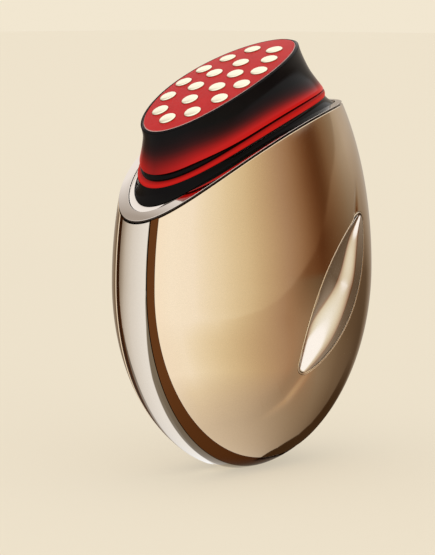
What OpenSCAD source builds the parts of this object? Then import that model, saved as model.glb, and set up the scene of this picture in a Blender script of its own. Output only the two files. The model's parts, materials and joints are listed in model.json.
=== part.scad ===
// Hand-held facial massager: an egg-shaped body that stands on a small flat, cut off by a
// slanting rim that carries a flared head with a red face and raised electrodes.
// Frame: X to the right of the front, Y to the back, Z up, origin on the resting flat.

/* [Body] */
// Half width of the egg at its widest
body_a = 36.7; // [34:0.1:42]
// Half thickness of the egg, front to back
body_b = 21.4; // [20:0.1:26]
// Height of the egg below its widest level
body_low = 44.1; // [41:0.1:50]
// Height of the egg above its widest level, if it were not cut off
body_high = 58.6; // [57:0.1:64]
// Height sliced off the bottom as a resting flat
flat_cut = 0.6; // [0.4:0.1:1]
// Wall of the covers and the side band
wall = 2; // [1.6:0.1:2.4]
// Half width of the side band
band_half = 4.1; // [3.6:0.1:5]
// Width of each dark trim ring beside the side band
ring_w = 1.6; // [1.2:0.1:2.2]
// How much wider the trim rings are at the bottom than from the middle up
ring_flare = 2.8; // [0:0.1:3.4]
// How far the trim rings lie below the surface
ring_drop = 0.15; // [0:0.05:0.4]
// Parting gap between neighbouring shells
seam = 0.1; // [0.05:0.01:0.2]

/* [Rim] */
// Radius of the arched cut that forms the rim
rim_r = 94; // [90:0.5:100]
// Distance of the arch's crest to the right of the middle
rim_x = 27.4; // [24:0.1:30]
// Height of the arch's crest above the egg's widest level
rim_rise = 39.06; // [38:0.1:40]
// Thickness of the polished bezel that closes the rim
bezel_t = 1.4; // [1.2:0.1:1.8]
// Thickness of the bezel's edge, which lies on the ends of the covers and the band
bezel_lip = 0.4; // [0.3:0.05:0.7]
// Width of the dished crescent in the bezel at the left of the head's foot
dish_w = 1.9; // [1:0.1:2.2]
// Depth of the pocket in which the foot stands and of that crescent
dish_depth = 0.5; // [0.3:0.05:0.6]
// Depth of the bezel's locating skirt inside the shells
bezel_skirt = 4; // [3:0.1:5]
// Wall of that skirt
skirt_t = 1.3; // [1:0.1:1.6]
// Thickness of the soft seal on top of the skirt
gasket_t = 0.4; // [0.3:0.05:0.6]

/* [Head] */
// Half length of the red face
face_a = 23.2; // [22.5:0.1:24.5]
// Half width of the red face
face_b = 11.9; // [11.4:0.1:12.6]
// Slope of the red face
face_tilt = 24.5; // [23:0.1:26]
// Radius of the face's gentle dome
face_dome = 180; // [150:1:260]
// Thickness of the red face plate
face_t = 1.6; // [1.2:0.1:2]
// Width of the chamfered edge round the red face
face_edge = 0.7; // [0.5:0.05:1]
// Half length of the head where it meets the bezel, seen from above
base_a = 28.7; // [28:0.1:29]
// Half width of the head where it meets the bezel
base_b = 15.2; // [14.8:0.1:15.6]
// Height of the face's middle above the rim's crest
face_rise = 5.7; // [5.2:0.1:7]
// Width of the foot by which the head stands on the bezel
foot_w = 2.1; // [1.8:0.1:2.3]
// Wall of the head's shells
head_t = 1.6; // [1.3:0.1:1.8]
// Clearance between the head and the bezel's opening
head_gap = 0.15; // [0.1:0.01:0.25]

/* [Electrodes] */
// Diameter of an electrode stud
stud_d = 3.84; // [3.2:0.02:4.2]
// Height of a stud's dome above the face
stud_rise = 0.55; // [0.4:0.05:0.9]
// Diameter of a stud's shank
shank_d = 1.5; // [1.2:0.1:1.8]
// Clearance round a shank
shank_gap = 0.05; // [0.03:0.01:0.1]
// Thickness of the electrode board
pad_board_t = 1; // [0.8:0.1:1.2]

/* [Leaf key] */
// Length of the leaf between its pointed corners, before they are rounded
leaf_len = 43; // [40:0.5:44]
// Width of the leaf
leaf_w = 14.2; // [12.5:0.1:15]
// Radius of the leaf's two tips
leaf_tip = 2; // [1.6:0.1:2.4]
// Slope of the leaf's long axis
leaf_angle = 55.9; // [52:0.1:60]
// Distance of the leaf's middle to the right of the body's middle
leaf_x = 8.9; // [7.5:0.1:9.5]
// Height of the leaf's middle above the resting flat
leaf_z = 40.3; // [39:0.1:43]
// Depth of the thumb scoop
scoop_depth = 1; // [0.8:0.1:2]
// Travel of the key
key_travel = 0.6; // [0.4:0.05:0.8]
// Clearance round the key
key_gap = 0.2; // [0.15:0.01:0.3]
// Wall of the trim round the key
key_trim = 0.5; // [0.4:0.05:0.9]
// Distance of the key's carrier plate in front of the body's middle
carrier_y = 13.2; // [13:0.1:13.6]

/* [Inside] */
// Thickness of the inner frame
frame_t = 1.8; // [1.5:0.1:2.2]
// Clearance between the inner frame and the side band
frame_gap = 0.2; // [0.1:0.05:0.4]
// Width of the main board
board_w = 40; // [34:1:42]
// Height of the main board
board_h = 40; // [34:1:42]
// Thickness of the main board
board_t = 1; // [0.8:0.1:1.2]
// Width of the battery
cell_w = 30; // [24:1:31]
// Height of the battery
cell_h = 36; // [30:1:38]
// Thickness of the battery
cell_t = 7.5; // [6:0.5:8.5]
// Diameter of the vibration motor
motor_d = 6; // [5:0.5:7]
// Length of the vibration motor's can
motor_len = 12; // [10:0.5:13]
// Diameter of a charging pin's face
pin_d = 2.4; // [2:0.1:2.6]
// Spacing of the two charging pins
pin_pitch = 7; // [6:0.1:7.2]
// Clearance round a charging pin
pin_gap = 0.05; // [0.03:0.01:0.1]
// Diameter of the docking magnets
magnet_d = 4; // [3:0.5:4.5]
// Diameter of the long screws that clamp the head
head_screw_d = 2; // [1.6:0.1:2.2]
// Thickness of the carrier plate under the bezel
carrier_t = 1.4; // [1.2:0.1:1.8]

/* [Hidden] */
$fn = 96;

far = 200;
eps = 0.01;
egg_z = body_low - flat_cut;
ring_y = band_half + seam;
cover_y = ring_y + ring_w + seam;
flare_steps = 6;
crest_z = egg_z + rim_rise;
// Layers of the rim, as radii of the arch
lip_low_r = rim_r - bezel_lip;
dish_r = rim_r - dish_depth;
shell_top_r = rim_r - bezel_t;
skirt_low_r = shell_top_r - bezel_skirt;
carrier_low_r = skirt_low_r - carrier_t;
base_x = -2.9;
face_x = base_x - 5.9;
face_z = crest_z + face_rise;
// The head's levels: half length, half width, middle X, middle Z, slope, curvature along the
// length and across it. The lower ones follow the foot and the upper ones the face.
level_strip_low = [base_a - 0.8, base_b - 0.2, base_x - 2.2, face_z - 10.26, 20.2, 0.0092, 0];
level_strip_top = [base_a - 1.4, base_b - 0.3, base_x - 2.0, face_z - 8.66, 20.6, 0.0105, 0];
level_shell_low = [base_a - 1.6, base_b - 0.4, base_x - 2.3, face_z - 7.66, 19.6, 0.0105, 0];
level_waist = [face_a + 2, face_b + 1.7, face_x + 2.2, face_z - 5.06, face_tilt - 3, 0.0085, 0.002];
level_neck = [face_a + 1, face_b + 0.8, face_x + 1.1, face_z - 2.36, face_tilt - 1.2, 0.0068, 0.004];
level_face = [face_a + face_edge, face_b + face_edge, face_x, face_z, face_tilt,
    1 / face_dome, 1 / face_dome];

// An electrode's place on the face: along its length, and across it on both sides
tip_studs = [-18.3, -10.3, 7.8];
pair_studs = [[-15.2, 4.9], [-9.1, 7.8], [-2.4, 8.8], [4.3, 8.35], [10.4, 6.3], [15.8, 3.3],
    [-4.4, 3.2], [2.1, 3.15]];
stud_places = concat([for (s = tip_studs) [s, 0]],
    [for (p = pair_studs, side = [-1, 1]) [p[0], side * p[1]]]);

// A leaf is two arcs with rounded tips
leaf_r = (pow(leaf_len / 2, 2) + pow(leaf_w / 2, 2)) / leaf_w;
leaf_y = body_b * sqrt(1 - pow(leaf_x / body_a, 2));

// One half of the egg's solid, above or below its widest level. Lying puts the sphere's poles
// on the covers' middles instead of on the top and bottom.
module half_egg(inset, high, lying) {
    reach = (high ? body_high : body_low) - inset;
    intersection() {
        scale([body_a - inset, body_b - inset, reach]) {
            if (lying) rotate([90, 0, 0]) rotate([0, 0, 90]) sphere(1);
            else sphere(1);
        }
        translate([-far / 2, -far / 2, high ? 0 : -far]) cube(far);
    }
}

// The egg's solid, shrunk by inset on all sides
module egg(inset = 0, lying = false) {
    translate([0, 0, egg_z]) {
        half_egg(inset, true, lying);
        half_egg(inset, false, lying);
    }
}

// The egg's skin between two insets
module skin(outer, inner, lying = false) {
    difference() {
        egg(outer, lying);
        egg(inner, lying);
    }
}

// Everything between two planes across the thickness
module slab(y0, y1) {
    translate([-far / 2, y0, -far / 2]) cube([far, y1 - y0, far]);
}

// Everything below the arch of radius r
module under_arch(r) {
    translate([rim_x, 0, crest_z - rim_r]) rotate([90, 0, 0]) {
        cylinder(r = r, h = far, center = true, $fn = 360);
    }
}

// A shell ring or cover, cut by the arch and by the resting flat
module trimmed(r) {
    intersection() {
        children();
        under_arch(r);
        translate([-far / 2, -far / 2, 0]) cube(far);
    }
}

// A leaf outline, grown by g
module leaf2d(g = 0) {
    r = leaf_r + g;
    tip = leaf_tip + g;
    off = leaf_r - leaf_w / 2;
    reach = sqrt(pow(leaf_r - leaf_tip, 2) - pow(off, 2));
    clip = reach * r / (r - tip);
    intersection() {
        translate([0, -off]) circle(r, $fn = 180);
        translate([0, off]) circle(r, $fn = 180);
        square([2 * clip, 4 * leaf_w], center = true);
    }
    for (side = [-1, 1]) translate([side * reach, 0]) circle(tip);
}

// Places a front view outline on the leaf and extrudes it from y0 to y1
module at_leaf(y0, y1) {
    translate([leaf_x, y1, leaf_z]) rotate([90, 0, 0]) rotate([0, 0, leaf_angle]) {
        linear_extrude(y1 - y0) children();
    }
}

// A rod along Y from y0 to y1
module rod(x, z, d, y0, y1) {
    translate([x, y1, z]) rotate([90, 0, 0]) cylinder(d = d, h = y1 - y0, $fn = 48);
}

// A box along Y from y0 to y1, centred on x and z
module block(x, z, w, h, y0, y1) {
    translate([x - w / 2, y0, z - h / 2]) cube([w, y1 - y0, h]);
}

// The head's own frame: its X runs along the face and its Z out of it
module at_face() {
    translate([face_x, 0, face_z]) rotate([0, -face_tilt, 0]) children();
}

// An ellipse of half axes a and b
module oval(a, b) {
    scale([a, b]) circle(1);
}

// The dome that the face follows, lowered by drop
module face_ball(drop) {
    translate([0, 0, -face_dome - drop]) sphere(face_dome, $fn = 360);
}

// One level of the head as a ring of points, drawn in by t
function level_points(lv, t, n = 72) = [for (i = [0:n - 1])
    let (s = (lv[0] - t) * cos(360 * i / n), y = (lv[1] - t) * sin(360 * i / n),
        h = -lv[5] * s * s / 2 - lv[6] * y * y / 2)
    [lv[2] + s * cos(lv[4]) - h * sin(lv[4]), y, lv[3] + s * sin(lv[4]) + h * cos(lv[4])]];

// A level moved up by h, square to its own slope
function raised(lv, h) =
    [lv[0], lv[1], lv[2] - h * sin(lv[4]), lv[3] + h * cos(lv[4]), lv[4], lv[5], lv[6]];

// A closed tube through rings of points, from the first round to the last and back
module ring_loft(rings) {
    n = len(rings[0]);
    m = len(rings);
    faces = [for (j = [0:m - 1], i = [0:n - 1])
        let (a = j * n + i, b = j * n + (i + 1) % n,
            c = ((j + 1) % m) * n + (i + 1) % n, d = ((j + 1) % m) * n + i)
        each [[a, c, b], [a, d, c]]];
    polyhedron([for (r = rings) each r], faces);
}

// A head piece: its outer levels from bottom to top, and back down inside the wall
module head_ring(levels, t) {
    top = len(levels) - 1;
    ring_loft(concat([for (lv = levels) level_points(lv, 0)],
        [for (j = [top:-1:0]) level_points(levels[j], t)]));
}

// Small parts shared by several pieces
post_d = 4.4;
peg_d = 2;
peg_len = 5;
screw_d = 1.6;
screw_len = 5;
key_screw_len = 2.6;
lead_d = 1.1;
skirt_gap = 0.15;
head_boss_d = head_screw_d + 1.8;
ribbon_w = 7;
ribbon_x = -3.5;
guide_gap = 0.15;
guide_t = 1.1;
lights_a = level_strip_low[0] - head_t - guide_gap - guide_t - 2.55;
lights_b = level_strip_low[1] - head_t - guide_gap - guide_t - 1.65;
lights_drop = 2.4;
led_count = 10;
pin_shank_d = pin_d / 2;
magnet_x = pin_pitch / 2 + 4.5;
lip_reach = 3;
fit = 0.05;
groove_depth = 0.9;
ledge_w = 1.3;
sleeve_d = head_screw_d + 2.4;
boss_drop = 0.6;
head_head_d = head_screw_d + 1.6;
scoop_bend = 70;
// Places of posts and screws, as X and Z: those of the key follow the leaf, and the others the
// egg's widest level
function beside(x, z, places) = [for (p = places) [x + p[0], z + p[1]]];
key_screws = beside(leaf_x, leaf_z, [[-12.4, 14.9], [8.6, -10.3], [-20.4, -9.3]]);
frame_pegs = beside(0, egg_z, [[-25.5, 3.5], [25.5, 3.5], [-17, -29.5], [17, -29.5]]);
frame_bosses = beside(0, egg_z, [[-22, 10.5], [23, 17.5], [-22, -17.5], [22, -17.5]]);
board_z = egg_z - 5.5;
board_posts = beside(0, board_z, [[-17, 17], [17, 17], [0, -17]]);
carrier_tabs = [-9, 9];
tab_w = 5;
tab_z = egg_z + 19;
// Distances along Y
frame_y = 0.6;
frame_back = frame_y + frame_t;
board_back = -1.4;
board_front = board_back - board_t;
pad_t = 0.8;
cell_y = frame_back + pad_t;
screw_head_t = 1;
// The cell hangs down from where its leads cross the frame
cell_top = egg_z + 14.5;
cell_z = cell_top - cell_h / 2;
lead_rise = 2;
lead_x = 4.4;
lead_pitch = lead_d + 0.2;
// The vibration motor
motor_x = -1;
motor_y = 8;
motor_z = egg_z + 20.5;
motor_shaft_d = 1;
weight_r = 2.5;
weight_len = 3.5;
// The key's layers in front of the body's middle
key_flange = carrier_y + key_travel + 0.3;
key_flange_t = 0.9;
trim_flange = key_flange + key_flange_t + 0.15;
trim_flange_t = 0.8;
stem_end = carrier_y + 0.3;
carrier_back = carrier_y - carrier_t;
switch_w = 6;
switch_t = 3;
plunger_d = 3.4;
plunger_gap = 0.1;
key_board_t = 0.8;
switch_front = stem_end - 0.1 - key_travel - 0.4;
key_board_front = switch_front - switch_t;
// Head screws, by their place along the face
head_screws_s = [-14.4, 13.2];
board_drop = 4;

// Distance of a trim ring's outer edge from the middle, at a height
function ring_edge(z) =
    ring_y + ring_w + (z < egg_z ? ring_flare * pow(1 - z / egg_z, 2) : 0);

// Everything from the middle out to a trim ring's outer edge and g beyond it
module ring_zone(side, g = 0) {
    edge = [for (i = [0:flare_steps]) let (z = egg_z * (1 - i / flare_steps))
        [side * (ring_edge(z) + g), z]];
    translate([-far / 2, 0, 0]) rotate([90, 0, 90]) linear_extrude(far) {
        polygon(concat([[0, far], [edge[0][0], far]], edge,
            [[edge[flare_steps][0], -far], [0, -far]]));
    }
}

// The space from y0 to y1 outwards, in front of the middle or behind it
module layer(side, y0, y1) {
    slab(side < 0 ? -y1 : y0, side < 0 ? -y0 : y1);
}

// A cover's wall outside its trim ring, with a locating lip that reaches inside the band
module cover_shell(side) {
    lip_inset = wall + 0.15;
    lip_t = 1.2;
    trimmed(lip_low_r - seam) difference() {
        intersection() {
            skin(0, wall);
            layer(side, ring_y, far);
        }
        ring_zone(side, seam);
    }
    difference() {
        intersection() {
            skin(wall - 0.1, lip_inset + lip_t);
            layer(side, lip_reach, cover_y + ring_flare + 2);
            under_arch(carrier_low_r - 1);
        }
        intersection() {
            skin(0, lip_inset);
            ring_zone(side, seam);
        }
    }
}

module front_cover() color("#E3C9A0") {
    difference() {
        union() {
            cover_shell(-1);
            intersection() {
                egg(wall / 2);
                union() {
                    for (p = frame_pegs) rod(p[0], p[1], post_d, -far / 8, frame_y);
                    for (p = key_screws) rod(p[0], p[1], post_d, -far / 8, -carrier_y);
                }
            }
        }
        at_leaf(-far / 8, -6) leaf2d(key_gap + key_trim + seam / 2);
        for (p = frame_pegs) rod(p[0], p[1], peg_d, frame_y - peg_len - 1, frame_y + 1);
        for (p = key_screws) rod(p[0], p[1], screw_d, -carrier_y - key_screw_len, 0);
    }
}

module rear_cover() color("#E3C9A0") {
    difference() {
        union() {
            cover_shell(1);
            intersection() {
                egg(wall / 2);
                for (p = frame_bosses) rod(p[0], p[1], post_d, frame_back, far / 8);
            }
        }
        for (p = frame_bosses) rod(p[0], p[1], screw_d, frame_y, frame_back + screw_len);
    }
}

module side_band() color("#CFC4B4") {
    difference() {
        trimmed(lip_low_r - seam) {
            intersection() {
                skin(0, wall, lying = true);
                slab(-band_half, band_half);
            }
        }
        for (side = [-1, 1]) {
            translate([side * pin_pitch / 2, 0, -1]) cylinder(d = pin_d + 2 * pin_gap, h = 5);
        }
    }
}

// A dark inlay ring beside the side band
module trim_ring(side) {
    trimmed(lip_low_r - seam) {
        intersection() {
            skin(ring_drop, wall);
            layer(side, ring_y, far);
            ring_zone(side);
        }
    }
}

module front_trim_ring() color("#4A2A16") trim_ring(-1);

module rear_trim_ring() color("#4A2A16") trim_ring(1);

// Everything between two arches
module arch_layer(r0, r1) {
    difference() {
        under_arch(r1);
        under_arch(r0);
    }
}

// An upright oval bore inside the head's foot
module foot_bore(gap) {
    translate([base_x, 0, 0]) linear_extrude(far) {
        oval(base_a - foot_w + gap, base_b - foot_w + gap);
    }
}

module top_bezel() color("#D9CDBE") {
    difference() {
        union() {
            intersection() {
                egg(0);
                arch_layer(lip_low_r, rim_r);
            }
            intersection() {
                egg(wall + skirt_gap);
                arch_layer(shell_top_r, lip_low_r + eps);
            }
            intersection() {
                skin(wall + skirt_gap, wall + skirt_gap + skirt_t);
                arch_layer(skirt_low_r, shell_top_r + eps);
            }
        }
        foot_bore(head_gap);
        intersection() {
            translate([base_x - (dish_w - head_gap) / 2, 0, 0]) linear_extrude(far) {
                oval(base_a + (dish_w + head_gap) / 2, base_b + head_gap);
            }
            arch_layer(dish_r, rim_r + 1);
        }
    }
}

// A soft ring in the corner between the bezel's skirt and the carrier
module head_gasket() color("#2B2B2E") {
    difference() {
        intersection() {
            arch_layer(skirt_low_r - gasket_t, skirt_low_r);
            skin(wall + skirt_gap, wall + skirt_gap + skirt_t);
        }
        foot_bore(head_gap);
    }
}

// A ring of points on the arch of radius r, drawn in by t from the head's foot
function arch_points(r, t, n = 72) = [for (i = [0:n - 1])
    let (x = base_x + (base_a - t) * cos(360 * i / n), y = (base_b - t) * sin(360 * i / n))
    [x, y, crest_z - rim_r + sqrt(r * r - pow(x - rim_x, 2))]];

// The black foot, with a collar that drops through the bezel's opening onto the carrier
module head_base() color("#0D0B0C") {
    collar_low = skirt_low_r - gasket_t;
    foot = dish_r + fit;
    ring_loft([arch_points(collar_low + fit, foot_w), arch_points(foot, foot_w),
        arch_points(foot, 0), level_points(level_strip_low, 0),
        level_points(level_strip_low, head_t), arch_points(foot, foot_w + head_t),
        arch_points(collar_low + fit, foot_w + head_t)]);
}

module light_ring() color("#C4161C") {
    head_ring([raised(level_strip_low, fit), level_strip_top], head_t);
}

// The black spacer at the bottom of the shadow groove above the light ring
module groove_ring() color("#0D0B0C") {
    low = raised(level_strip_top, fit);
    high = raised(level_shell_low, -fit);
    ring_loft([level_points(low, groove_depth), level_points(high, groove_depth),
        level_points(high, head_t), level_points(low, head_t)]);
}

// The flared upper shell, with a chamfered edge and a ledge that carries the face plate
module head_shell() color("#161213") {
    edge = face_edge - fit;
    ledge = raised(level_face, -face_t - fit);
    ring_loft([level_points(level_shell_low, 0), level_points(level_waist, 0),
        level_points(level_neck, 0), level_points(raised(level_face, -0.4), 0),
        level_points(level_face, edge), level_points(ledge, edge),
        level_points(ledge, face_edge + ledge_w), level_points(level_neck, face_edge + ledge_w),
        level_points(level_waist, head_t), level_points(level_shell_low, head_t)]);
}

// A clear ring behind the groove that spreads the red light into the shells
module light_guide() color("#E2463C") {
    levels = [level_strip_low, level_strip_top, level_shell_low, level_waist];
    ring_loft(concat([for (lv = levels) level_points(lv, head_t + guide_gap)],
        [for (j = [3:-1:0]) level_points(levels[j], head_t + guide_gap + guide_t)]));
}

module face_plate() color("#CC2A30") at_face() {
    difference() {
        intersection() {
            translate([0, 0, -8]) linear_extrude(16) oval(face_a, face_b);
            face_ball(0);
        }
        face_ball(face_t);
        for (p = stud_places) translate([p[0], p[1], -8]) {
            cylinder(d = shank_d + 2 * shank_gap, h = 16, $fn = 24);
        }
    }
    // Bosses that take the two long head screws
    for (s = head_screws_s) difference() {
        intersection() {
            translate([s, 0, -face_t - board_drop]) {
                cylinder(d = head_boss_d, h = board_drop + 1, $fn = 48);
            }
            face_ball(face_t - 0.2);
        }
        translate([s, 0, -9]) {
            cylinder(d = head_screw_d + 0.1, h = 9 - face_t - face_drop([s, 0]), $fn = 32);
        }
    }
}

// How far the dome lies below its crest at a place on the face
function face_drop(p) = face_dome - sqrt(face_dome * face_dome - p[0] * p[0] - p[1] * p[1]);

// Moves to a place on the dome, square to it
module on_dome(p) {
    translate([0, 0, -face_dome]) rotate([0, 0, atan2(p[1], p[0])]) {
        rotate([0, asin(norm(p) / face_dome), 0]) translate([0, 0, face_dome]) children();
    }
}

// Studs: low domes that follow the face, each on a straight shank
module electrodes() color("#F4E3B8") at_face() {
    dome_r = (pow(stud_d / 2, 2) + pow(stud_rise, 2)) / (2 * stud_rise);
    for (p = stud_places) {
        on_dome(p) difference() {
            intersection() {
                translate([0, 0, stud_rise - dome_r]) sphere(dome_r, $fn = 72);
                translate([0, 0, -1]) cylinder(d = stud_d, h = 3, $fn = 48);
            }
            face_ball(-fit);
        }
        translate([p[0], p[1], -face_t - board_drop - pad_board_t - 0.3]) {
            cylinder(d = shank_d, h = face_t + board_drop + pad_board_t + 0.5 - face_drop(p),
                $fn = 24);
        }
    }
}

module electrode_board() color("#1E5A35") at_face() {
    difference() {
        translate([0, 0, -face_t - board_drop - pad_board_t]) {
            linear_extrude(pad_board_t) oval(face_a - 2.6, face_b - 2.6);
        }
        for (p = stud_places) translate([p[0], p[1], -10]) {
            cylinder(d = shank_d + 2 * shank_gap, h = 10, $fn = 24);
        }
        for (s = head_screws_s) translate([s, 0, -10]) {
            cylinder(d = head_screw_d + 0.3, h = 10, $fn = 32);
        }
    }
}

// The light board's own frame, level with the light ring
module at_lights() {
    translate([level_strip_low[2], 0, level_strip_low[3]]) {
        rotate([0, -level_strip_low[4], 0]) children();
    }
}

// Depth below the face, along a head screw, at which it meets the arch of radius r
function screw_depth(s, r) =
    let (x = face_x + s * cos(face_tilt) - rim_x,
        z = face_z + s * sin(face_tilt) - crest_z + rim_r,
        b = z * cos(face_tilt) - x * sin(face_tilt))
    b - sqrt(b * b - x * x - z * z + r * r);

// A rod on each head screw's line, from below the carrier's underside up to a depth
module head_screw_rods(d, below, depth) {
    at_face() for (s = head_screws_s) {
        low = screw_depth(s, carrier_low_r - gasket_t) + below;
        translate([s, 0, -low]) cylinder(d = d, h = low - depth, $fn = 48);
    }
}

// Everything above the light board's underside, or above h over its top
module above_light_board(h = -pad_board_t) {
    at_lights() translate([-far / 2, -far / 2, h - lights_drop]) cube(far);
}

// A slot that the ribbon passes through, from y0 to just behind the middle
module ribbon_slot(y0) {
    block(ribbon_x, crest_z, ribbon_w + 1.2, far / 2, y0, 1);
}

module led_board() color("#1E5A35") {
    difference() {
        at_lights() translate([0, 0, -lights_drop - pad_board_t]) {
            linear_extrude(pad_board_t) oval(lights_a, lights_b);
        }
        head_screw_rods(head_screw_d + 0.3, 0, 5);
        ribbon_slot(-1.4);
    }
}

// Two sleeves on the head screws that hold the boards apart
module head_spacers() color("#B9BCC2") {
    difference() {
        head_screw_rods(sleeve_d, 0, face_t + board_drop + pad_board_t);
        head_screw_rods(head_screw_d + 0.3, 1, 1);
        difference() {
            translate([-far / 2, -far / 2, 0]) cube(far);
            above_light_board(fit);
        }
    }
}

module red_leds() color("#F0D9A8") at_lights() {
    for (i = [0:led_count - 1]) {
        a = 360 * (i + 0.5) / led_count;
        translate([(lights_a - 2.6) * cos(a), (lights_b - 1.8) * sin(a), -lights_drop]) {
            translate([0, 0, 0.5]) cube([2.8, 1.6, 1], center = true);
        }
    }
}

// The carrier plate under the bezel, with two tabs that screw to the inner frame
module head_carrier() color("#2E2E31") {
    difference() {
        union() {
            intersection() {
                egg(wall + skirt_gap);
                arch_layer(carrier_low_r - gasket_t, skirt_low_r - gasket_t);
            }
            intersection() {
                for (x = carrier_tabs) {
                    translate([x - tab_w / 2, frame_back, tab_z - 3]) cube([tab_w, 2, far]);
                }
                under_arch(carrier_low_r);
            }
            difference() {
                head_screw_rods(sleeve_d, boss_drop, face_t + board_drop);
                above_light_board();
            }
        }
        ribbon_slot(-4);
        head_screw_rods(head_screw_d + 0.3, boss_drop + 1, 5);
        for (x = carrier_tabs) rod(x, tab_z, screw_d, 0, frame_back + 4);
    }
}

// Two long screws from under the carrier up into the face plate's bosses
module head_screws() color("#B9BCC2") at_face() {
    for (s = head_screws_s) {
        low = screw_depth(s, carrier_low_r - gasket_t) + boss_drop;
        translate([s, 0, -low]) cylinder(d = head_screw_d, h = low - face_t - 1, $fn = 48);
        translate([s, 0, -low - 1.2]) cylinder(d = head_head_d, h = 1.2, $fn = 48);
    }
}

// A flat ribbon from the electrode board through the head down to the main board
module head_ribbon() color("#B5702A") {
    y = board_front;
    t = 0.3;
    low = board_z + 12;
    knee = low + 10;
    over = knee + 9;
    difference() {
        translate([ribbon_x - ribbon_w / 2, 0, 0]) rotate([90, 0, 90]) linear_extrude(ribbon_w) {
            polygon([[y, low], [y, knee], [0, over], [0, face_z], [-t, face_z],
                [-t, over + 0.1], [y - t, knee + 0.1], [y - t, low]]);
        }
        at_face() translate([-far / 2, -far / 2, -face_t - board_drop - pad_board_t]) cube(far);
    }
}

// The leaf-shaped key: a hollow pad with a thumb scoop, a flange behind the trim and a stem
module leaf_key() color("#C9C3B8") {
    skin_t = wall + scoop_depth;
    difference() {
        union() {
            intersection() {
                egg(0);
                at_leaf(-far / 8, -key_flange) leaf2d();
            }
            intersection() {
                egg(wall + 0.4);
                at_leaf(-key_flange - key_flange_t, -key_flange) leaf2d(key_gap + key_trim);
            }
        }
        intersection() {
            egg(skin_t);
            at_leaf(-far / 8, -key_flange + eps) leaf2d(-1.5);
        }
        thumb_scoop();
    }
    intersection() {
        egg(skin_t - 0.2);
        rod(leaf_x, leaf_z, 4, -far / 8, -stem_end);
    }
}

// A bent trough that follows the body along the leaf
module thumb_scoop() {
    r = (pow(leaf_w / 2, 2) + pow(scoop_depth, 2)) / (2 * scoop_depth);
    bend = scoop_bend + r - scoop_depth;
    translate([leaf_x, bend - leaf_y - r + scoop_depth, leaf_z]) {
        rotate([90, 0, 0]) rotate([0, 0, leaf_angle]) rotate([90, 0, 0]) {
            rotate_extrude($fn = 360) translate([bend, 0]) circle(r, $fn = 120);
        }
    }
}

// A thin trim wall round the key, with a flange on the inside
module key_trim_ring() color("#EADFCB") {
    difference() {
        union() {
            intersection() {
                egg(0);
                at_leaf(-far / 8, -trim_flange) leaf2d(key_gap + key_trim);
            }
            intersection() {
                egg(wall + seam);
                at_leaf(-trim_flange - trim_flange_t, -trim_flange) leaf2d(2.4);
            }
        }
        at_leaf(-far / 8, -6) leaf2d(key_gap);
    }
}

// The plate that carries the key's switch, with an arm to each screw
module key_carrier() color("#2E2E31") {
    difference() {
        union() {
            block(leaf_x, leaf_z, 15, 15, -carrier_y, -carrier_back);
            for (p = key_screws) {
                rod(p[0], p[1], 5, -carrier_y, -carrier_back);
                bar(leaf_x, leaf_z, p[0], p[1], 4, -carrier_y, -carrier_back);
            }
            for (side = [-1, 1]) {
                rod(leaf_x + side * 5.5, leaf_z, 2.4, -carrier_y, -key_board_front);
            }
        }
        block(leaf_x, leaf_z, switch_w + 0.4, switch_w + 0.4, -carrier_y - 1, 0);
        for (p = key_screws) rod(p[0], p[1], screw_d + 0.4, -carrier_y - 1, 0);
    }
}

// A flat bar between two places, from y0 to y1
module bar(x0, z0, x1, z1, w, y0, y1) {
    len = norm([x1 - x0, z1 - z0]);
    translate([x0, y1, z0]) rotate([90, 0, 0]) rotate([0, 0, atan2(z1 - z0, x1 - x0)]) {
        translate([0, -w / 2, 0]) cube([len, w, y1 - y0]);
    }
}

// A pan-head screw along Y: its head at y, its shank reaching towards dir
module screw(x, z, y, len, dir) {
    rod(x, z, 3.4, dir > 0 ? y - screw_head_t : y, dir > 0 ? y : y + screw_head_t);
    rod(x, z, screw_d - 0.1, dir > 0 ? y : y - len, dir > 0 ? y + len : y);
}

module carrier_screws() color("#B9BCC2") {
    for (p = key_screws) {
        screw(p[0], p[1], -carrier_back, carrier_t + key_screw_len - 0.3, -1);
    }
}

module key_board() color("#1E5A35") {
    block(leaf_x, leaf_z, 14, 8, -key_board_front, -key_board_front + key_board_t);
}

module switch_body() color("#3A3A3E") {
    difference() {
        block(leaf_x, leaf_z, switch_w, switch_w, -switch_front, -switch_front + switch_t);
        rod(leaf_x, leaf_z, plunger_d + 2 * plunger_gap, -switch_front - 1, -switch_front + 2);
    }
}

module switch_plunger() color("#8A1F1F") {
    rod(leaf_x, leaf_z, plunger_d, -stem_end + 0.1, -switch_front + 1);
}

// The frame's outline in front view: the egg's section, cut by an arch under the carrier
module frame_outline() {
    k = sqrt(1 - pow(frame_back / (body_b - wall), 2));
    intersection() {
        for (high = [false, true]) intersection() {
            reach = (high ? body_high : body_low) - wall - frame_gap;
            translate([0, egg_z]) oval((body_a - wall - frame_gap) * k, reach * k);
            translate([-far / 2, egg_z - (high ? 0 : far)]) square(far);
        }
        translate([rim_x, crest_z - rim_r]) circle(carrier_low_r - 2, $fn = 360);
    }
}

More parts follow.
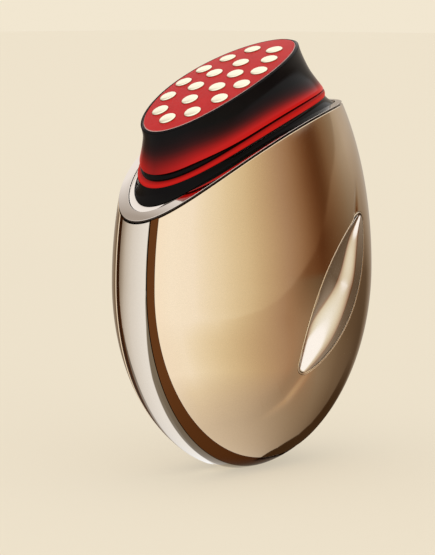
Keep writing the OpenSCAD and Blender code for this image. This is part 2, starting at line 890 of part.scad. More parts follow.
// The inner plate that carries the battery and the main board
module inner_frame() color("#3A3B3F") {
    difference() {
        union() {
            translate([0, frame_back, 0]) rotate([90, 0, 0]) {
                linear_extrude(frame_t) frame_outline();
            }
            for (p = board_posts) rod(p[0], p[1], post_d, board_back, frame_y + eps);
            for (p = frame_pegs) rod(p[0], p[1], peg_d - 0.1, frame_y - peg_len, frame_y + eps);
            for (x = carrier_tabs) block(x, tab_z, tab_w + 1, 5, frame_y - 0.5, frame_back);
        }
        head_screw_rods(head_head_d + 1.6, boss_drop + 2, 0);
        block(0, 6.5 - far / 2, 30, far + 4, -1, 4);
        for (x = [-15, 0, 15]) block(x, 12.5, 7, 4, -1, 4);
        for (side = [-1, 1]) block(side * 27.5, egg_z - 6.5, 4, 12, -1, 4);
        block(lead_x + lead_pitch / 2, cell_top + lead_rise, lead_pitch + 1.7, 3, -1, 4);
        for (p = frame_bosses) rod(p[0], p[1], screw_d + 0.4, -2, frame_back + 1);
        for (x = carrier_tabs) rod(x, tab_z, screw_d + 0.4, -2, frame_back + 1);
        for (p = board_posts) rod(p[0], p[1], screw_d, -2, frame_back + 1);
    }
}

module frame_screws() color("#B9BCC2") {
    for (p = frame_bosses) screw(p[0], p[1], frame_y, frame_t + screw_len - 0.5, 1);
    for (x = carrier_tabs) screw(x, tab_z, frame_y - 0.5, frame_t + 2.3, 1);
}

module main_board() color("#1E5A35") {
    difference() {
        block(0, board_z, board_w, board_h, board_front, board_back);
        for (p = board_posts) rod(p[0], p[1], screw_d + 0.3, board_front - 1, 0);
    }
}

module board_screws() color("#B9BCC2") {
    for (p = board_posts) screw(p[0], p[1], board_front, board_t + 3.2, 1);
}

module control_chip() color("#1B1C1F") {
    block(-8, board_z, 7, 7, board_front - 1, board_front);
}

module step_up_coil() color("#5B5E64") {
    z = board_z + 10;
    block(12, z, 7, 7, board_front - 1, board_front);
    rod(12, z, 6, board_front - 3.2, board_front - 1 + eps);
}

module capacitors() color("#C8A45A") {
    z = board_z - 11;
    for (i = [0:3]) block(-14 + 4 * i, z, 2.4, 1.4, board_front - 1.2, board_front);
    for (i = [0:1]) rod(8 + 6 * i, z, 5, board_front - 4.5, board_front);
}

module battery_pad() color("#8D9096") {
    block(0, cell_z, cell_w - 4, cell_h - 6, frame_back, cell_y);
}

// A pouch cell with rounded edges along its height and a folded seal on top
module battery() color("#9DA3AB") {
    r = cell_t / 2;
    block(0, cell_z - 1, cell_w - cell_t, cell_h - 2, cell_y, cell_y + cell_t);
    for (side = [-1, 1]) {
        translate([side * (cell_w / 2 - r), cell_y + r, cell_z - cell_h / 2]) {
            cylinder(r = r, h = cell_h - 2, $fn = 48);
        }
    }
    block(0, cell_z + cell_h / 2 - 1, cell_w - 4, 2, cell_y + 2, cell_y + cell_t - 2);
}

// Two insulated leads from the cell's top over the frame to the board's top edge
module battery_leads() color("#A3242A") {
    for (i = [0, 1]) {
        x = lead_x + lead_pitch * i;
        y0 = cell_y + cell_t / 2;
        y1 = board_back - board_t / 2;
        high = cell_top + lead_rise;
        translate([x, y0, cell_top]) cylinder(d = lead_d, h = lead_rise, $fn = 24);
        translate([x, y0, high]) sphere(d = lead_d, $fn = 24);
        rod(x, high, lead_d, y1, y0);
        translate([x, y1, high]) sphere(d = lead_d, $fn = 24);
        translate([x, y1, board_z + board_h / 2]) {
            cylinder(d = lead_d, h = high - board_z - board_h / 2, $fn = 24);
        }
    }
}

// A rubber saddle that holds the motor against the frame
module motor_cradle() color("#4A4C50") {
    difference() {
        block(motor_x, motor_z, motor_len - 3, motor_d + 2, frame_back, motor_y + 1);
        translate([motor_x, motor_y, motor_z]) rotate([0, 90, 0]) {
            cylinder(d = motor_d, h = motor_len + 2, center = true, $fn = 48);
        }
    }
}

module motor_can() color("#A9ADB3") {
    translate([motor_x, motor_y, motor_z]) rotate([0, 90, 0]) {
        difference() {
            cylinder(d = motor_d, h = motor_len, center = true, $fn = 48);
            translate([0, 0, motor_len / 2 - 2]) {
                cylinder(d = motor_shaft_d + 0.1, h = 3, $fn = 24);
            }
        }
    }
}

// The shaft and its half-round weight, which shakes the body as it turns
module motor_weight() color("#6E6A62") {
    translate([motor_x + motor_len / 2, motor_y, motor_z]) rotate([0, 90, 0]) {
        translate([0, 0, -1.9]) cylinder(d = motor_shaft_d, h = weight_len + 2.4, $fn = 24);
        translate([0, 0, 0.5]) intersection() {
            cylinder(r = weight_r, h = weight_len, $fn = 48);
            translate([-0.6, -far / 2, 0]) cube(far);
        }
    }
}

// The holder of the charging pins and docking magnets, inside the bottom of the band
module pin_block() color("#2E2E31") {
    difference() {
        intersection() {
            egg(wall + 0.1, lying = true);
            block(0, 3.7, 24, 7.6, -lip_reach + 0.2, lip_reach - 0.2);
        }
        for (side = [-1, 1]) {
            translate([side * pin_pitch / 2, 0, -1]) {
                cylinder(d = pin_d + 2 * pin_gap, h = 4.2, $fn = 48);
                cylinder(d = pin_shank_d + 2 * pin_gap, h = 12, $fn = 24);
            }
            translate([side * magnet_x, 0, 3.6]) {
                cylinder(d = magnet_d + 0.1, h = 6, $fn = 48);
            }
        }
    }
}

module charging_pins() color("#E6C77C") {
    for (side = [-1, 1]) translate([side * pin_pitch / 2, 0, 0]) {
        translate([0, 0, 0.15]) cylinder(d = pin_d, h = 3, $fn = 48);
        translate([0, 0, 3]) cylinder(d = pin_shank_d, h = 6.2, $fn = 24);
    }
}

module dock_magnets() color("#8B8F95") {
    for (side = [-1, 1]) translate([side * magnet_x, 0, 3.7]) {
        cylinder(d = magnet_d, h = 3, $fn = 48);
    }
}

front_cover();
rear_cover();
side_band();
front_trim_ring();
rear_trim_ring();
top_bezel();
head_base();
light_ring();
groove_ring();
head_shell();
face_plate();
electrodes();
electrode_board();
light_guide();
led_board();
red_leds();
head_gasket();
head_carrier();
head_spacers();
head_screws();
head_ribbon();
leaf_key();
key_trim_ring();
key_carrier();
carrier_screws();
key_board();
switch_body();
switch_plunger();
inner_frame();
frame_screws();
main_board();
board_screws();
control_chip();
step_up_coil();
capacitors();
battery();
battery_pad();
battery_leads();
motor_cradle();
motor_can();
motor_weight();
pin_block();
charging_pins();
dock_magnets();
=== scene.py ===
"""Looks for a hand-held facial massager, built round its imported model.

Everything is in the part's own frame. Lengths are in millimetres, like those of the part's
source, and turn into metres when a mesh is made. Angles are in degrees.
"""

import json
import math

import bpy
import numpy as np
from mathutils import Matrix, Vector

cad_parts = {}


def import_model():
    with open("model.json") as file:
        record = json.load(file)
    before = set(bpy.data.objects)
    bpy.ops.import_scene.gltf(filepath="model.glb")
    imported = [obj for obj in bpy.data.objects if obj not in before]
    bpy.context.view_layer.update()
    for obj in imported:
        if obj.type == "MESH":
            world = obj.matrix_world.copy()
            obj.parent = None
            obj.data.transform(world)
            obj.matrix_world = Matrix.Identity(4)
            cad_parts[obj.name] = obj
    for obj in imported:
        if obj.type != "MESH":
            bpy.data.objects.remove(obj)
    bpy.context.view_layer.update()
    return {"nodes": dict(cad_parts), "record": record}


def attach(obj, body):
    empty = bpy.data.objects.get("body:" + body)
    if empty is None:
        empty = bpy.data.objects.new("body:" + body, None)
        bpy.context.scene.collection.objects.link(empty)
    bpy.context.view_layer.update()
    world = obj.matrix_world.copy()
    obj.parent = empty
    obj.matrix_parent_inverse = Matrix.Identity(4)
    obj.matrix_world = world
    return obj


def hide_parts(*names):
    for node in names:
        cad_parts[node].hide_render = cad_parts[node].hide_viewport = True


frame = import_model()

MM = 0.001
TURN = 2 * math.pi

# The egg: half width, half thickness, its height below and above its widest level, that level
A, B, C_LOW, C_HIGH, EGG_Z = 36.7, 21.4, 44.1, 58.6, 43.5

# The arch that cuts it off, the bezel's thin edge on it and the dish round the head's foot
RIM_R, RIM_X, CREST_Z = 94.0, 27.4, 82.56
RIM_Z = CREST_Z - RIM_R
LIP_R = RIM_R - 0.4
LIP_EDGE, LIP_LEAN, LIP_UNDERCUT, SKIRT_INSET, SKIRT_END = 0.06, 0.14, 0.32, 2.15, 4.8
DISH_W, DISH_DEPTH, DISH_RISE, DISH_EDGE = 1.9, 0.5, 0.28, 0.08

# The covers, the band and the trim rings, which widen toward the bottom
SEAM = 0.1
SHELL_R = LIP_R - SEAM
BAND_HALF = 4.1
RING_Y0, RING_W, RING_FLARE, RING_DROP = BAND_HALF + SEAM, 1.6, 2.8, 0.15
# Radius of each rounded edge and depth of the wall behind it
COVER_EDGE, HOLE_EDGE, BAND_EDGE, RING_EDGE = (0.16, 1.6), (0.12, 0.3), (0.12, 1.6), (0.1, 1.4)
# The bevels along the band's edges: depth, least width, and width by height
BEVEL_DEPTH, BEVEL_LEAST = 0.15, 0.05
BEVEL_W = ((0, 2.0), (15, 1.8), (24, 1.5), (36, 0.4), (45, 0.0))

# The head's levels: half length, half width, middle X, middle Z, slope, curvatures
FOOT_X, FOOT_A, FOOT_B, FOOT_GAP = -2.9, 28.7, 15.2, 0.15
DISH_X = FOOT_X - (DISH_W - FOOT_GAP) / 2
DISH_A, DISH_B = FOOT_A + (DISH_W + FOOT_GAP) / 2, FOOT_B + FOOT_GAP
STRIP_LOW = (27.9, 15.0, -5.1, 78.0, 20.2, 0.0092, 0.0)
STRIP_TOP = (27.3, 14.9, -4.9, 79.6, 20.6, 0.0105, 0.0)
SHELL_LOW = (27.1, 14.8, -5.2, 80.6, 19.6, 0.0105, 0.0)
WAIST = (25.2, 13.6, -6.6, 83.2, 21.5, 0.0085, 0.002)
NECK = (24.2, 12.7, -7.7, 85.9, 23.3, 0.0068, 0.004)
FACE_A, FACE_B, FACE_X, FACE_Z, FACE_TILT, DOME = 23.2, 11.9, -8.8, 88.26, 24.5, 180.0
CHAMFER = 0.7
FACE = (FACE_A + CHAMFER, FACE_B + CHAMFER, FACE_X, FACE_Z, FACE_TILT, 1 / DOME, 1 / DOME)
HEAD_COLS = 360
# How much red light shines through the shell, by the share of its height
SHINE = ((0, 0.92), (0.1, 0.86), (0.19, 0.58), (0.3, 0.24), (0.4, 0.09), (0.5, 0.035),
         (0.62, 0.012), (0.8, 0))

# The studs, on the face's long axis and in pairs on both sides of it
STUD_D, STUD_RISE, STUD_SHOULDER, STUD_FOOT = 3.84, 0.55, 0.315, 0.2
TIP_STUDS = (-18.3, -10.3, 7.8)
PAIR_STUDS = ((-15.2, 4.9), (-9.1, 7.8), (-2.4, 8.8), (4.3, 8.35), (10.4, 6.3), (15.8, 3.3),
              (-4.4, 3.2), (2.1, 3.15))

# The leaf: two arcs of radius LEAF_R with rounded tips
LEAF_LEN, LEAF_W, LEAF_TIP, LEAF_ANGLE, LEAF_X, LEAF_Z = 43.0, 14.2, 2.0, 55.9, 8.9, 40.3
LEAF_R = ((LEAF_LEN / 2) ** 2 + (LEAF_W / 2) ** 2) / LEAF_W
LEAF_OFF = LEAF_R - LEAF_W / 2
LEAF_REACH = math.sqrt((LEAF_R - LEAF_TIP) ** 2 - LEAF_OFF ** 2)
LEAF_COS, LEAF_SIN = math.cos(math.radians(LEAF_ANGLE)), math.sin(math.radians(LEAF_ANGLE))
KEY_GAP, KEY_TRIM, TRIM_GAP = 0.16, 0.4, 0.05
# The way the key moves
INTO = np.array([0.0, 1.0, 0.0])
# Slopes of the thumb groove, and the steeper and softer ones of its shading
GROOVE_SLOPE, GROOVE_SHINE, GROOVE_SOFT = 0.45, 0.9, 0.32

# The channel that runs on from both ends of the leaf: its course, and by the share of its
# length its depth and its half width, which is larger on the lower part's one side
CREASE = ((19.0, 66.0), (17.9, 61.0), (17.0, 56.5), (11.0, 43.0), (2.0, 28.3), (-1.6, 23.0),
          (-5.6, 18.0), (-10.5, 14.8), (-15.3, 12.8))
CREASE_DEPTH = ((0.16, 0.45), (0.3, 0.28), (0.6, 0.28), (0.7, 0.42))
CREASE_HALF = ((0, 0.5), (0.16, 1.0), (0.3, 1.6), (0.6, 1.6), (0.7, 1.3))
CREASE_FADE_IN, CREASE_FADE_OUT, CREASE_WIDER = 0.16, 0.2, 1.8


# Meshes

def unit(v):
    return v / np.maximum(np.linalg.norm(v, axis=-1, keepdims=True), 1e-12)


def smooth(t):
    t = np.clip(t, 0, 1)
    return t * t * (3 - 2 * t)


def table(pairs, at):
    """The value at a place, read off pairs of place and value."""
    places, values = zip(*pairs)
    return np.interp(at, places, values)


def angles(count):
    """Angles all round, in radians."""
    return np.linspace(0, TURN, count, endpoint=False)


def per_row(values, cols):
    """A mark for each point of a grid, the same along each row."""
    return np.repeat(np.asarray(values, float)[:, None], cols, 1)


def grid_normals(P, closed):
    """Normals of a grid of points by differences, rows along axis 0."""
    if closed:
        du = np.roll(P, -1, 1) - np.roll(P, 1, 1)
    else:
        du = np.gradient(P, axis=1)
    dv = np.gradient(P, axis=0)
    return unit(np.cross(du, dv))


def outward(P, N):
    """+1 where the normals leave the piece, judged from the middle of its points."""
    away = P - P.reshape(-1, 3).mean(0)
    return 1.0 if (N * away).sum() > 0 else -1.0


def make_grid(name, P, N=None, closed=True, attrs=None):
    """A mesh of quads through a grid of points, shaded by the normals N."""
    P = np.asarray(P, float)
    rows, cols = P.shape[:2]
    G = grid_normals(P, closed)
    if N is None:
        N = G * outward(P, G)
    N = unit(np.asarray(N, float))
    flip = (G * N).sum() < 0
    faces = []
    for r in range(rows - 1):
        for c in range(cols if closed else cols - 1):
            d = (c + 1) % cols
            q = (r * cols + c, r * cols + d, (r + 1) * cols + d, (r + 1) * cols + c)
            faces.append(q[::-1] if flip else q)
    mesh = bpy.data.meshes.new(name)
    mesh.from_pydata((P.reshape(-1, 3) * MM).tolist(), [], faces)
    mesh.update()
    mesh.polygons.foreach_set("use_smooth", [True] * len(mesh.polygons))
    for key, values in (attrs or {}).items():
        layer = mesh.attributes.new(key, "FLOAT", "POINT")
        layer.data.foreach_set("value", np.asarray(values, float).reshape(-1))
    mesh.normals_split_custom_set_from_vertices(N.reshape(-1, 3).tolist())
    obj = bpy.data.objects.new(name, mesh)
    bpy.context.collection.objects.link(obj)
    return obj


def join(name, objs):
    """One object out of several."""
    bpy.ops.object.select_all(action="DESELECT")
    for o in objs:
        o.select_set(True)
    bpy.context.view_layer.objects.active = objs[0]
    bpy.ops.object.join()
    objs[0].name = name
    objs[0].data.name = name
    return objs[0]


def round_edge(P, n, e, radius, depth, steps=5):
    """Rows that round an edge P from its surface normal n over to its outward side e."""
    rows, norms = [], []
    for i in range(steps + 1):
        a = math.pi / 2 * i / steps
        rows.append(P - e * radius * (1 - math.sin(a)) - n * radius * (1 - math.cos(a)))
        norms.append(n * math.cos(a) + e * math.sin(a))
    rows.append(P - n * depth)
    norms.append(e)
    return rows, norms


def corner_rows(P1, P, P2, n1, n2, steps):
    """Rows that round a corner P from P1 to P2."""
    rows, norms = [], []
    for s in np.arange(steps + 1) / steps:
        rows.append((1 - s) ** 2 * P1 + 2 * s * (1 - s) * P + s * s * P2)
        norms.append(unit((1 - s) * n1 + s * n2))
    return rows, norms


def bisect(f, lo, hi, n=50):
    """The root of f between arrays lo, where f < 0, and hi, where f > 0."""
    lo, hi = np.array(lo, float), np.array(hi, float)
    for _ in range(n):
        mid = (lo + hi) / 2
        up = f(mid) > 0
        hi = np.where(up, mid, hi)
        lo = np.where(up, lo, mid)
    return (lo + hi) / 2


# Egg

def egg_c(z, inset):
    return np.where(z >= EGG_Z, C_HIGH - inset, C_LOW - inset)


def egg_level(x, y, z, inset=0.0):
    """Below zero inside the egg and above zero outside."""
    return ((x / (A - inset)) ** 2 + (y / (B - inset)) ** 2
            + ((z - EGG_Z) / egg_c(z, inset)) ** 2 - 1)


def egg_y(x, z):
    q = 1 - (x / A) ** 2 - ((z - EGG_Z) / egg_c(z, 0)) ** 2
    return B * np.sqrt(np.clip(q, 0, None))


def egg_normal(P, inset=0.0):
    c = egg_c(P[..., 2], inset)
    g = np.stack([P[..., 0] / (A - inset) ** 2, P[..., 1] / (B - inset) ** 2,
                  (P[..., 2] - EGG_Z) / c ** 2], -1)
    return unit(g)


def section_point(phi, y, inset):
    """The egg's points at angles phi round its section at y, cut off at the resting flat."""
    k = np.sqrt(1 - (y / (B - inset)) ** 2)
    s = np.sin(phi)
    c = np.where(s >= 0, C_HIGH - inset, C_LOW - inset)
    z = np.maximum(EGG_Z + c * k * s, 0.0)
    return np.stack([(A - inset) * k * np.cos(phi), y + 0 * phi, z], -1)


def arch_angles(y, inset):
    """The angles at which the section at y meets the covers' arch: left and right."""
    def f(phi):
        p = section_point(phi, y, inset)
        return (p[..., 0] - RIM_X) ** 2 + (p[..., 2] - RIM_Z) ** 2 - SHELL_R ** 2
    left = bisect(f, [math.pi], [math.pi / 2])[0]
    right = bisect(f, [0.0], [math.pi / 2])[0]
    return left, right


def band_edge(z):
    """Distance of the band's edge from the middle."""
    return BAND_HALF + 0 * z


def ring_edge(z):
    """Distance of a trim ring's outer edge from the middle."""
    down = np.clip(1 - z / EGG_Z, 0, None)
    return RING_Y0 + RING_W + RING_FLARE * down * down


def strip(name, near, far, side, inset, edge, rows, bevel=0.0):
    """An outer strip of the egg from near to far(z) off the middle, with rounded long edges.

    With a bevel, its margins slope down by that much and are marked below zero, where the band's
    finish paints shade on them.
    """
    cols, settle = 360, 20
    width = far(EGG_Z) - near
    # The rows on each margin and where the middle begins, in millimetres from the edge
    margin, middle = np.arange(0.2, 2.3, 0.15) / width, 2.4 / width

    def loop(f):
        """Points and normals along the strip at the share f of its width."""
        left, right = arch_angles(near + width * f, inset)
        phi = np.linspace(left, right + TURN, cols)
        z = EGG_Z
        for _ in range(settle):
            P = section_point(phi, side * (near + (far(z) - near) * f), inset)
            z = P[:, 2]
        n = egg_normal(P, inset)
        n[z <= 1e-9] = (0, 0, -1)
        return P, n

    def border(f):
        """The rounded edge where f is 0 or 1, with its mark for the band's painted shade."""
        P, n = loop(f)
        e = unit(np.cross(np.gradient(P, axis=0), n))
        e = e * np.sign(e[:, 1:2]) * side * (1 if f else -1)
        wide = table(BEVEL_W, P[:, 2:3])
        R, N = round_edge(P - n * bevel * (wide > BEVEL_LEAST), n, e, *edge)
        return R, N, [-wide[:, 0]] * len(R)

    shares = np.linspace(0.06, 0.94, rows)
    if bevel:
        shares = np.linspace(middle, 1 - middle, rows)
        shares = np.concatenate([margin, shares, 1 - margin[::-1]])
    R, N, clear = border(0.0)
    all_p, all_n = R[::-1], N[::-1]
    for f in shares:
        P, n = loop(f)
        wide = table(BEVEL_W, P[:, 2:3])
        off = width * min(f, 1 - f) - wide
        sink = bevel * np.clip(-off / np.maximum(wide, BEVEL_LEAST), 0, 1)
        tilt = np.where(off < 0, bevel / np.maximum(wide, 0.3), 0.0)
        all_p.append(P - n * sink)
        all_n.append(unit(n + np.array([0, side * (1 if f > 0.5 else -1), 0]) * tilt))
        # Below zero on the bevels: their slope is real, their darker colour is painted shade
        clear.append(off[:, 0])
    R, N, marks = border(1.0)
    return make_grid(name, all_p + R, np.array(all_n + N), closed=False,
                     attrs={"clear": np.array(clear + marks) + 0.03})


# Leaf

def leaf_radius(psi, g):
    """Distance from the leaf's middle to its outline grown by g, at angle psi to its axis."""
    c, s = np.abs(np.cos(psi)), np.abs(np.sin(psi))
    r, tip = LEAF_R + g, LEAF_TIP + g
    side = -LEAF_OFF * s + np.sqrt((LEAF_OFF * s) ** 2 + r * r - LEAF_OFF ** 2)
    touch = LEAF_REACH * r / (r - tip)
    q = (LEAF_REACH * c) ** 2 - LEAF_REACH ** 2 + tip * tip
    end = LEAF_REACH * c + np.sqrt(np.clip(q, 0, None))
    return np.where(side * c < touch, side, end)


def leaf_point(s, w):
    """The place on the front, as X and Z, of s along the leaf and w across it."""
    return LEAF_X + s * LEAF_COS - w * LEAF_SIN, LEAF_Z + s * LEAF_SIN + w * LEAF_COS


def crease_depth(x, z):
    """Depth of the channel that runs out of both ends of the leaf and fades away."""
    pts = np.array(CREASE)
    nearest = np.full(x.shape, 1e9)
    along = np.zeros(x.shape)
    turn = np.ones(x.shape)
    seg = np.linalg.norm(np.diff(pts, axis=0), axis=1)
    start = np.concatenate([[0], np.cumsum(seg)])
    for i in range(len(pts) - 1):
        p, d = pts[i], pts[i + 1] - pts[i]
        t = np.clip(((x - p[0]) * d[0] + (z - p[1]) * d[1]) / (d @ d), 0, 1)
        dist = np.hypot(x - p[0] - t * d[0], z - p[1] - t * d[1])
        near = dist < nearest
        nearest = np.where(near, dist, nearest)
        turn = np.where(near, d[0] * (z - p[1]) - d[1] * (x - p[0]), turn)
        along = np.where(near, (start[i] + t * seg[i]) / start[-1], along)
    fade = smooth(along / CREASE_FADE_IN) * smooth((1 - along) / CREASE_FADE_OUT)
    lower = smooth((along - 0.5) / 0.15)
    half = table(CREASE_HALF, along) * np.where(turn < 0, 1 + CREASE_WIDER * lower, 1)
    return table(CREASE_DEPTH, along) * fade * np.exp(-(nearest / half) ** 2)


# Covers

def cover(name, side, leaf):
    """The outer skin of a cover, as rays from the leaf's outline or from the pole."""
    n_rays, n_rows, samples, beyond, crowding = 480, 110, 500, 120.0, 1.6
    ox, oz = (LEAF_X, LEAF_Z) if leaf else (0.0, EGG_Z)

    def ends(psi):
        """How far each ray runs to the trim ring and to the arch."""
        c, s = np.cos(psi), np.sin(psi)

        def f(t):
            x, z = ox + t * c, oz + t * s
            return egg_level(x, ring_edge(z) + SEAM, z)

        to_ring = bisect(f, np.zeros_like(psi), np.full_like(psi, beyond))
        ux, uz = ox - RIM_X, oz - RIM_Z
        b = ux * c + uz * s
        return to_ring, -b + np.sqrt(b * b - ux * ux - uz * uz + SHELL_R * SHELL_R)

    def onto_corners(psi):
        """Turns the nearest ray exactly to each corner between the ring and the arch."""
        to_ring, to_arch = ends(psi)
        sign = np.sign(to_ring - to_arch)
        for i in np.where(sign != np.roll(sign, -1))[0]:
            corner = bisect(lambda q: -sign[i] * np.subtract(*ends(q)),
                            [psi[i]], [psi[i] + TURN / n_rays])[0]
            near = i if abs(corner - psi[i]) < math.pi / n_rays else (i + 1) % n_rays
            psi[near] = corner - (TURN if near == 0 and near != i else 0)
        return psi

    psi = onto_corners(np.linspace(-math.pi, math.pi, n_rays, endpoint=False))
    t_out = np.minimum(*ends(psi))
    t_in = np.full_like(psi, 1e-3)
    if leaf:
        t_in = leaf_radius(psi - math.radians(LEAF_ANGLE), KEY_GAP + KEY_TRIM + TRIM_GAP)
    c, s = np.cos(psi), np.sin(psi)

    def on_egg(t, crease=leaf):
        x, z = ox + t * c, oz + t * s
        P = np.stack([x, side * egg_y(x, z), z], -1)
        if crease:
            P = P - egg_normal(P) * crease_depth(x, z)[..., None]
        return P

    def border(t, sign, edge):
        """The rounded edge at the distance t along the rays."""
        P = on_egg(t)
        n = egg_normal(P)
        e = unit(np.cross(np.roll(P, -1, 0) - np.roll(P, 1, 0), n))
        ray = np.stack([c, np.zeros_like(c), s], -1)
        e = e * np.sign((e * ray).sum(-1, keepdims=True)) * sign
        return round_edge(P, n, e, *edge)

    # The rows are spaced evenly along the surface
    share = 1 - (1 - np.linspace(0, 1, samples)[:, None]) ** crowding
    t = t_in + (t_out - t_in) * share
    steps = np.linalg.norm(np.diff(on_egg(t, crease=False), axis=0), axis=-1)
    length = np.concatenate([np.zeros((1, n_rays)), np.cumsum(steps, 0)])
    f = np.linspace(0, 1, n_rows)
    reach = np.stack([np.interp(f * length[-1, j], length[:, j], t[:, j])
                      for j in range(n_rays)], 1)

    middle = np.array([on_egg(reach[i]) for i in range(1, n_rows - 1)])
    normals = egg_normal(middle)
    if leaf:
        R, N = border(t_in, -1, HOLE_EDGE)
        head, head_n = R[::-1], N[::-1]
        normals = turned_like(grid_normals(middle, True), normals)
    else:
        head = [on_egg(reach[0])]
        head_n = [egg_normal(head[0])]
    R, N = border(t_out, 1, COVER_EDGE)
    return make_grid(name, head + list(middle) + R, np.array(head_n + list(normals) + N))


def turned_like(n, model):
    """Normals turned to the side of the model's, and taken from it in the end rows."""
    n = n * np.sign((n * model).sum(-1, keepdims=True))
    n[0], n[-1] = model[0], model[-1]
    return n


# Rim

def arch_z(x, r):
    return RIM_Z + np.sqrt(r * r - (x - RIM_X) ** 2)


def arch_normal(P):
    n = np.stack([P[..., 0] - RIM_X, np.zeros_like(P[..., 0]), P[..., 2] - RIM_Z], -1)
    return unit(n)


def rim_point(alpha, r, inset=0.0):
    """Where the egg meets the arch of radius r, at plan angle alpha round the foot."""
    c, s = np.cos(alpha), np.sin(alpha)

    def f(t):
        x = FOOT_X + t * c
        return egg_level(x, t * s, arch_z(np.clip(x, RIM_X - r, RIM_X + r), r), inset)

    t = bisect(f, np.zeros_like(alpha), np.full_like(alpha, 60.0))
    x = FOOT_X + t * c
    return np.stack([x, t * s, arch_z(x, r)], -1)


def on_arch(P, r):
    """The points moved up or down onto the arch of radius r."""
    P = np.array(P)
    P[:, 2] = arch_z(P[:, 0], r)
    return P


def bezel():
    """A flat polished lip, with a dished pocket round the foot and a thin outer edge."""
    cols = 480
    alpha = angles(cols)
    c, s = np.cos(alpha), np.sin(alpha)

    def oval(x0, a, b, r):
        x = x0 + a * c
        return np.stack([x, b * s, arch_z(x, r)], -1)

    # From under the foot to its outline, and the dish's wall; room is the crescent's width
    bed = oval(FOOT_X, FOOT_A - 1.5, FOOT_B - 1.5, RIM_R - DISH_DEPTH)
    foot = oval(FOOT_X, FOOT_A + 0.02, FOOT_B + 0.02, RIM_R - DISH_DEPTH)
    wall = oval(DISH_X, DISH_A, DISH_B, RIM_R)
    out = unit((wall - foot) * [1, 1, 0] + 1e-6 * wall)
    up = arch_normal(wall)
    room = np.linalg.norm((wall - foot)[:, :2], axis=-1, keepdims=True)
    share = np.clip(room / DISH_W, 0, 1)
    rows, norms = [bed, foot], [arch_normal(bed), arch_normal(foot)]
    # The crescent rises gently outward and ends in a small step with a rounded edge, given as
    # distances from the wall and below the lip
    step = ((0.10, 0.20), (0.09, 0.14), (0.08, 0.09))
    for f in np.linspace(0.08, 1.0, 14)[:-1]:
        q = on_arch(foot + (wall - out * 0.12 - foot) * f, RIM_R)
        rows.append(q - up * (DISH_DEPTH - DISH_RISE * f * f * share))
        norms.append(unit(up - out * (2 * DISH_RISE * f / DISH_W * share)))
    for t, h in step:
        rows.append(on_arch(wall - out * t, RIM_R) - up * h)
        norms.append(-out)
    for a in math.pi / 2 * np.arange(6) / 5:
        rows.append(on_arch(wall - out * (DISH_EDGE * math.cos(a)), RIM_R)
                    - up * (DISH_EDGE * (1 - math.sin(a))))
        norms.append(unit(-out * math.cos(a) + up * math.sin(a)))
    # The lip leans a little toward the egg where the crescent is narrow
    corner = rim_point(alpha, RIM_R)
    top_in = unit(wall - corner)
    inner = on_arch(corner + top_in * LIP_EDGE, RIM_R)
    for f in np.linspace(0, 1, 10)[1:]:
        q = on_arch(wall * (1 - f) + inner * f, RIM_R)
        rows.append(q)
        lean = LIP_LEAN * top_in * np.clip(3.2 - room / DISH_W * 3.2, 0, 1)
        norms.append(unit(arch_normal(q) + lean))
    outer = rim_point(alpha, RIM_R - LIP_EDGE)
    R, N = corner_rows(inner, corner, outer, arch_normal(inner), egg_normal(outer), 8)
    rows += R[1:]
    norms += N[1:]
    # The edge is cut back below, so that it leaves a thin shadow over the covers. Its cut-back
    # face and the skirt are marked below zero and carry a painted shadow, nearly black
    top_rows = len(rows) - 1
    low = rim_point(alpha, LIP_R)
    down = unit(low - outer)
    n_low = egg_normal(low)
    skirt = [rim_point(alpha, LIP_R - drop, SKIRT_INSET) for drop in (0, 0.2, SKIRT_END)]
    rows += [low - n_low * LIP_UNDERCUT] + skirt
    norms += [unit(n_low * 0.5 + down), down] + [egg_normal(q) for q in skirt[1:]]
    clear = per_row(np.where(np.arange(len(rows)) < top_rows, 0.3, -0.3), cols)
    return make_grid("top_bezel_skin", rows, np.array(norms), attrs={"clear": clear})


# Head

def level_ring(level, t, up=0.0):
    """A ring of the head: its level drawn in by t and raised by up."""
    a, b, x0, z0, slope, bend, cross_bend = level
    u = angles(HEAD_COLS)
    s, y = (a - t) * np.cos(u), (b - t) * np.sin(u)
    h = -bend * s * s / 2 - cross_bend * y * y / 2 + up
    tilt = math.radians(slope)
    return np.stack([x0 + s * math.cos(tilt) - h * math.sin(tilt), y,
                     z0 + s * math.sin(tilt) + h * math.cos(tilt)], -1)


def smooth_levels(levels, n):
    """Levels in between, on one smooth curve through the given ones."""
    L = np.array(levels)
    last = len(L) - 1
    out = []
    for u in np.linspace(0, last, n):
        i = min(int(u), last - 1)
        t = u - i
        p0, p1, p2, p3 = L[max(i - 1, 0)], L[i], L[i + 1], L[min(i + 2, last)]
        out.append(0.5 * (2 * p1 + (p2 - p0) * t + (2 * p0 - 5 * p1 + 4 * p2 - p3) * t * t
                          + (3 * p1 - p0 - 3 * p2 + p3) * t ** 3))
    return out


def foot_ring(t):
    """The ring in which the head stands in the bezel's dish, drawn in by t."""
    u = angles(HEAD_COLS)
    x = FOOT_X + (FOOT_A - t) * np.cos(u)
    return np.stack([x, (FOOT_B - t) * np.sin(u), arch_z(x, RIM_R - DISH_DEPTH + 0.05)], -1)


def head_base():
    """The black foot, drawn in a little at half its height."""
    waist, lift = 0.35, 0.12
    foot, top = foot_ring(0), level_ring(STRIP_LOW, 0)
    middle = (foot + top) / 2
    inward = unit(np.array([FOOT_X, 0, 0]) - middle * [1, 1, 0])
    bend = middle + 2 * inward * waist
    rows = [foot_ring(1.5), foot_ring(0.15), foot + np.array([0, 0, lift])]
    for f in np.linspace(0, 1, 16)[1:]:
        rows.append((1 - f) ** 2 * foot + 2 * f * (1 - f) * bend + f * f * top)
    rows += [level_ring(STRIP_LOW, t) for t in (0.12, 1.4)]
    return make_grid("head_base_skin", rows)


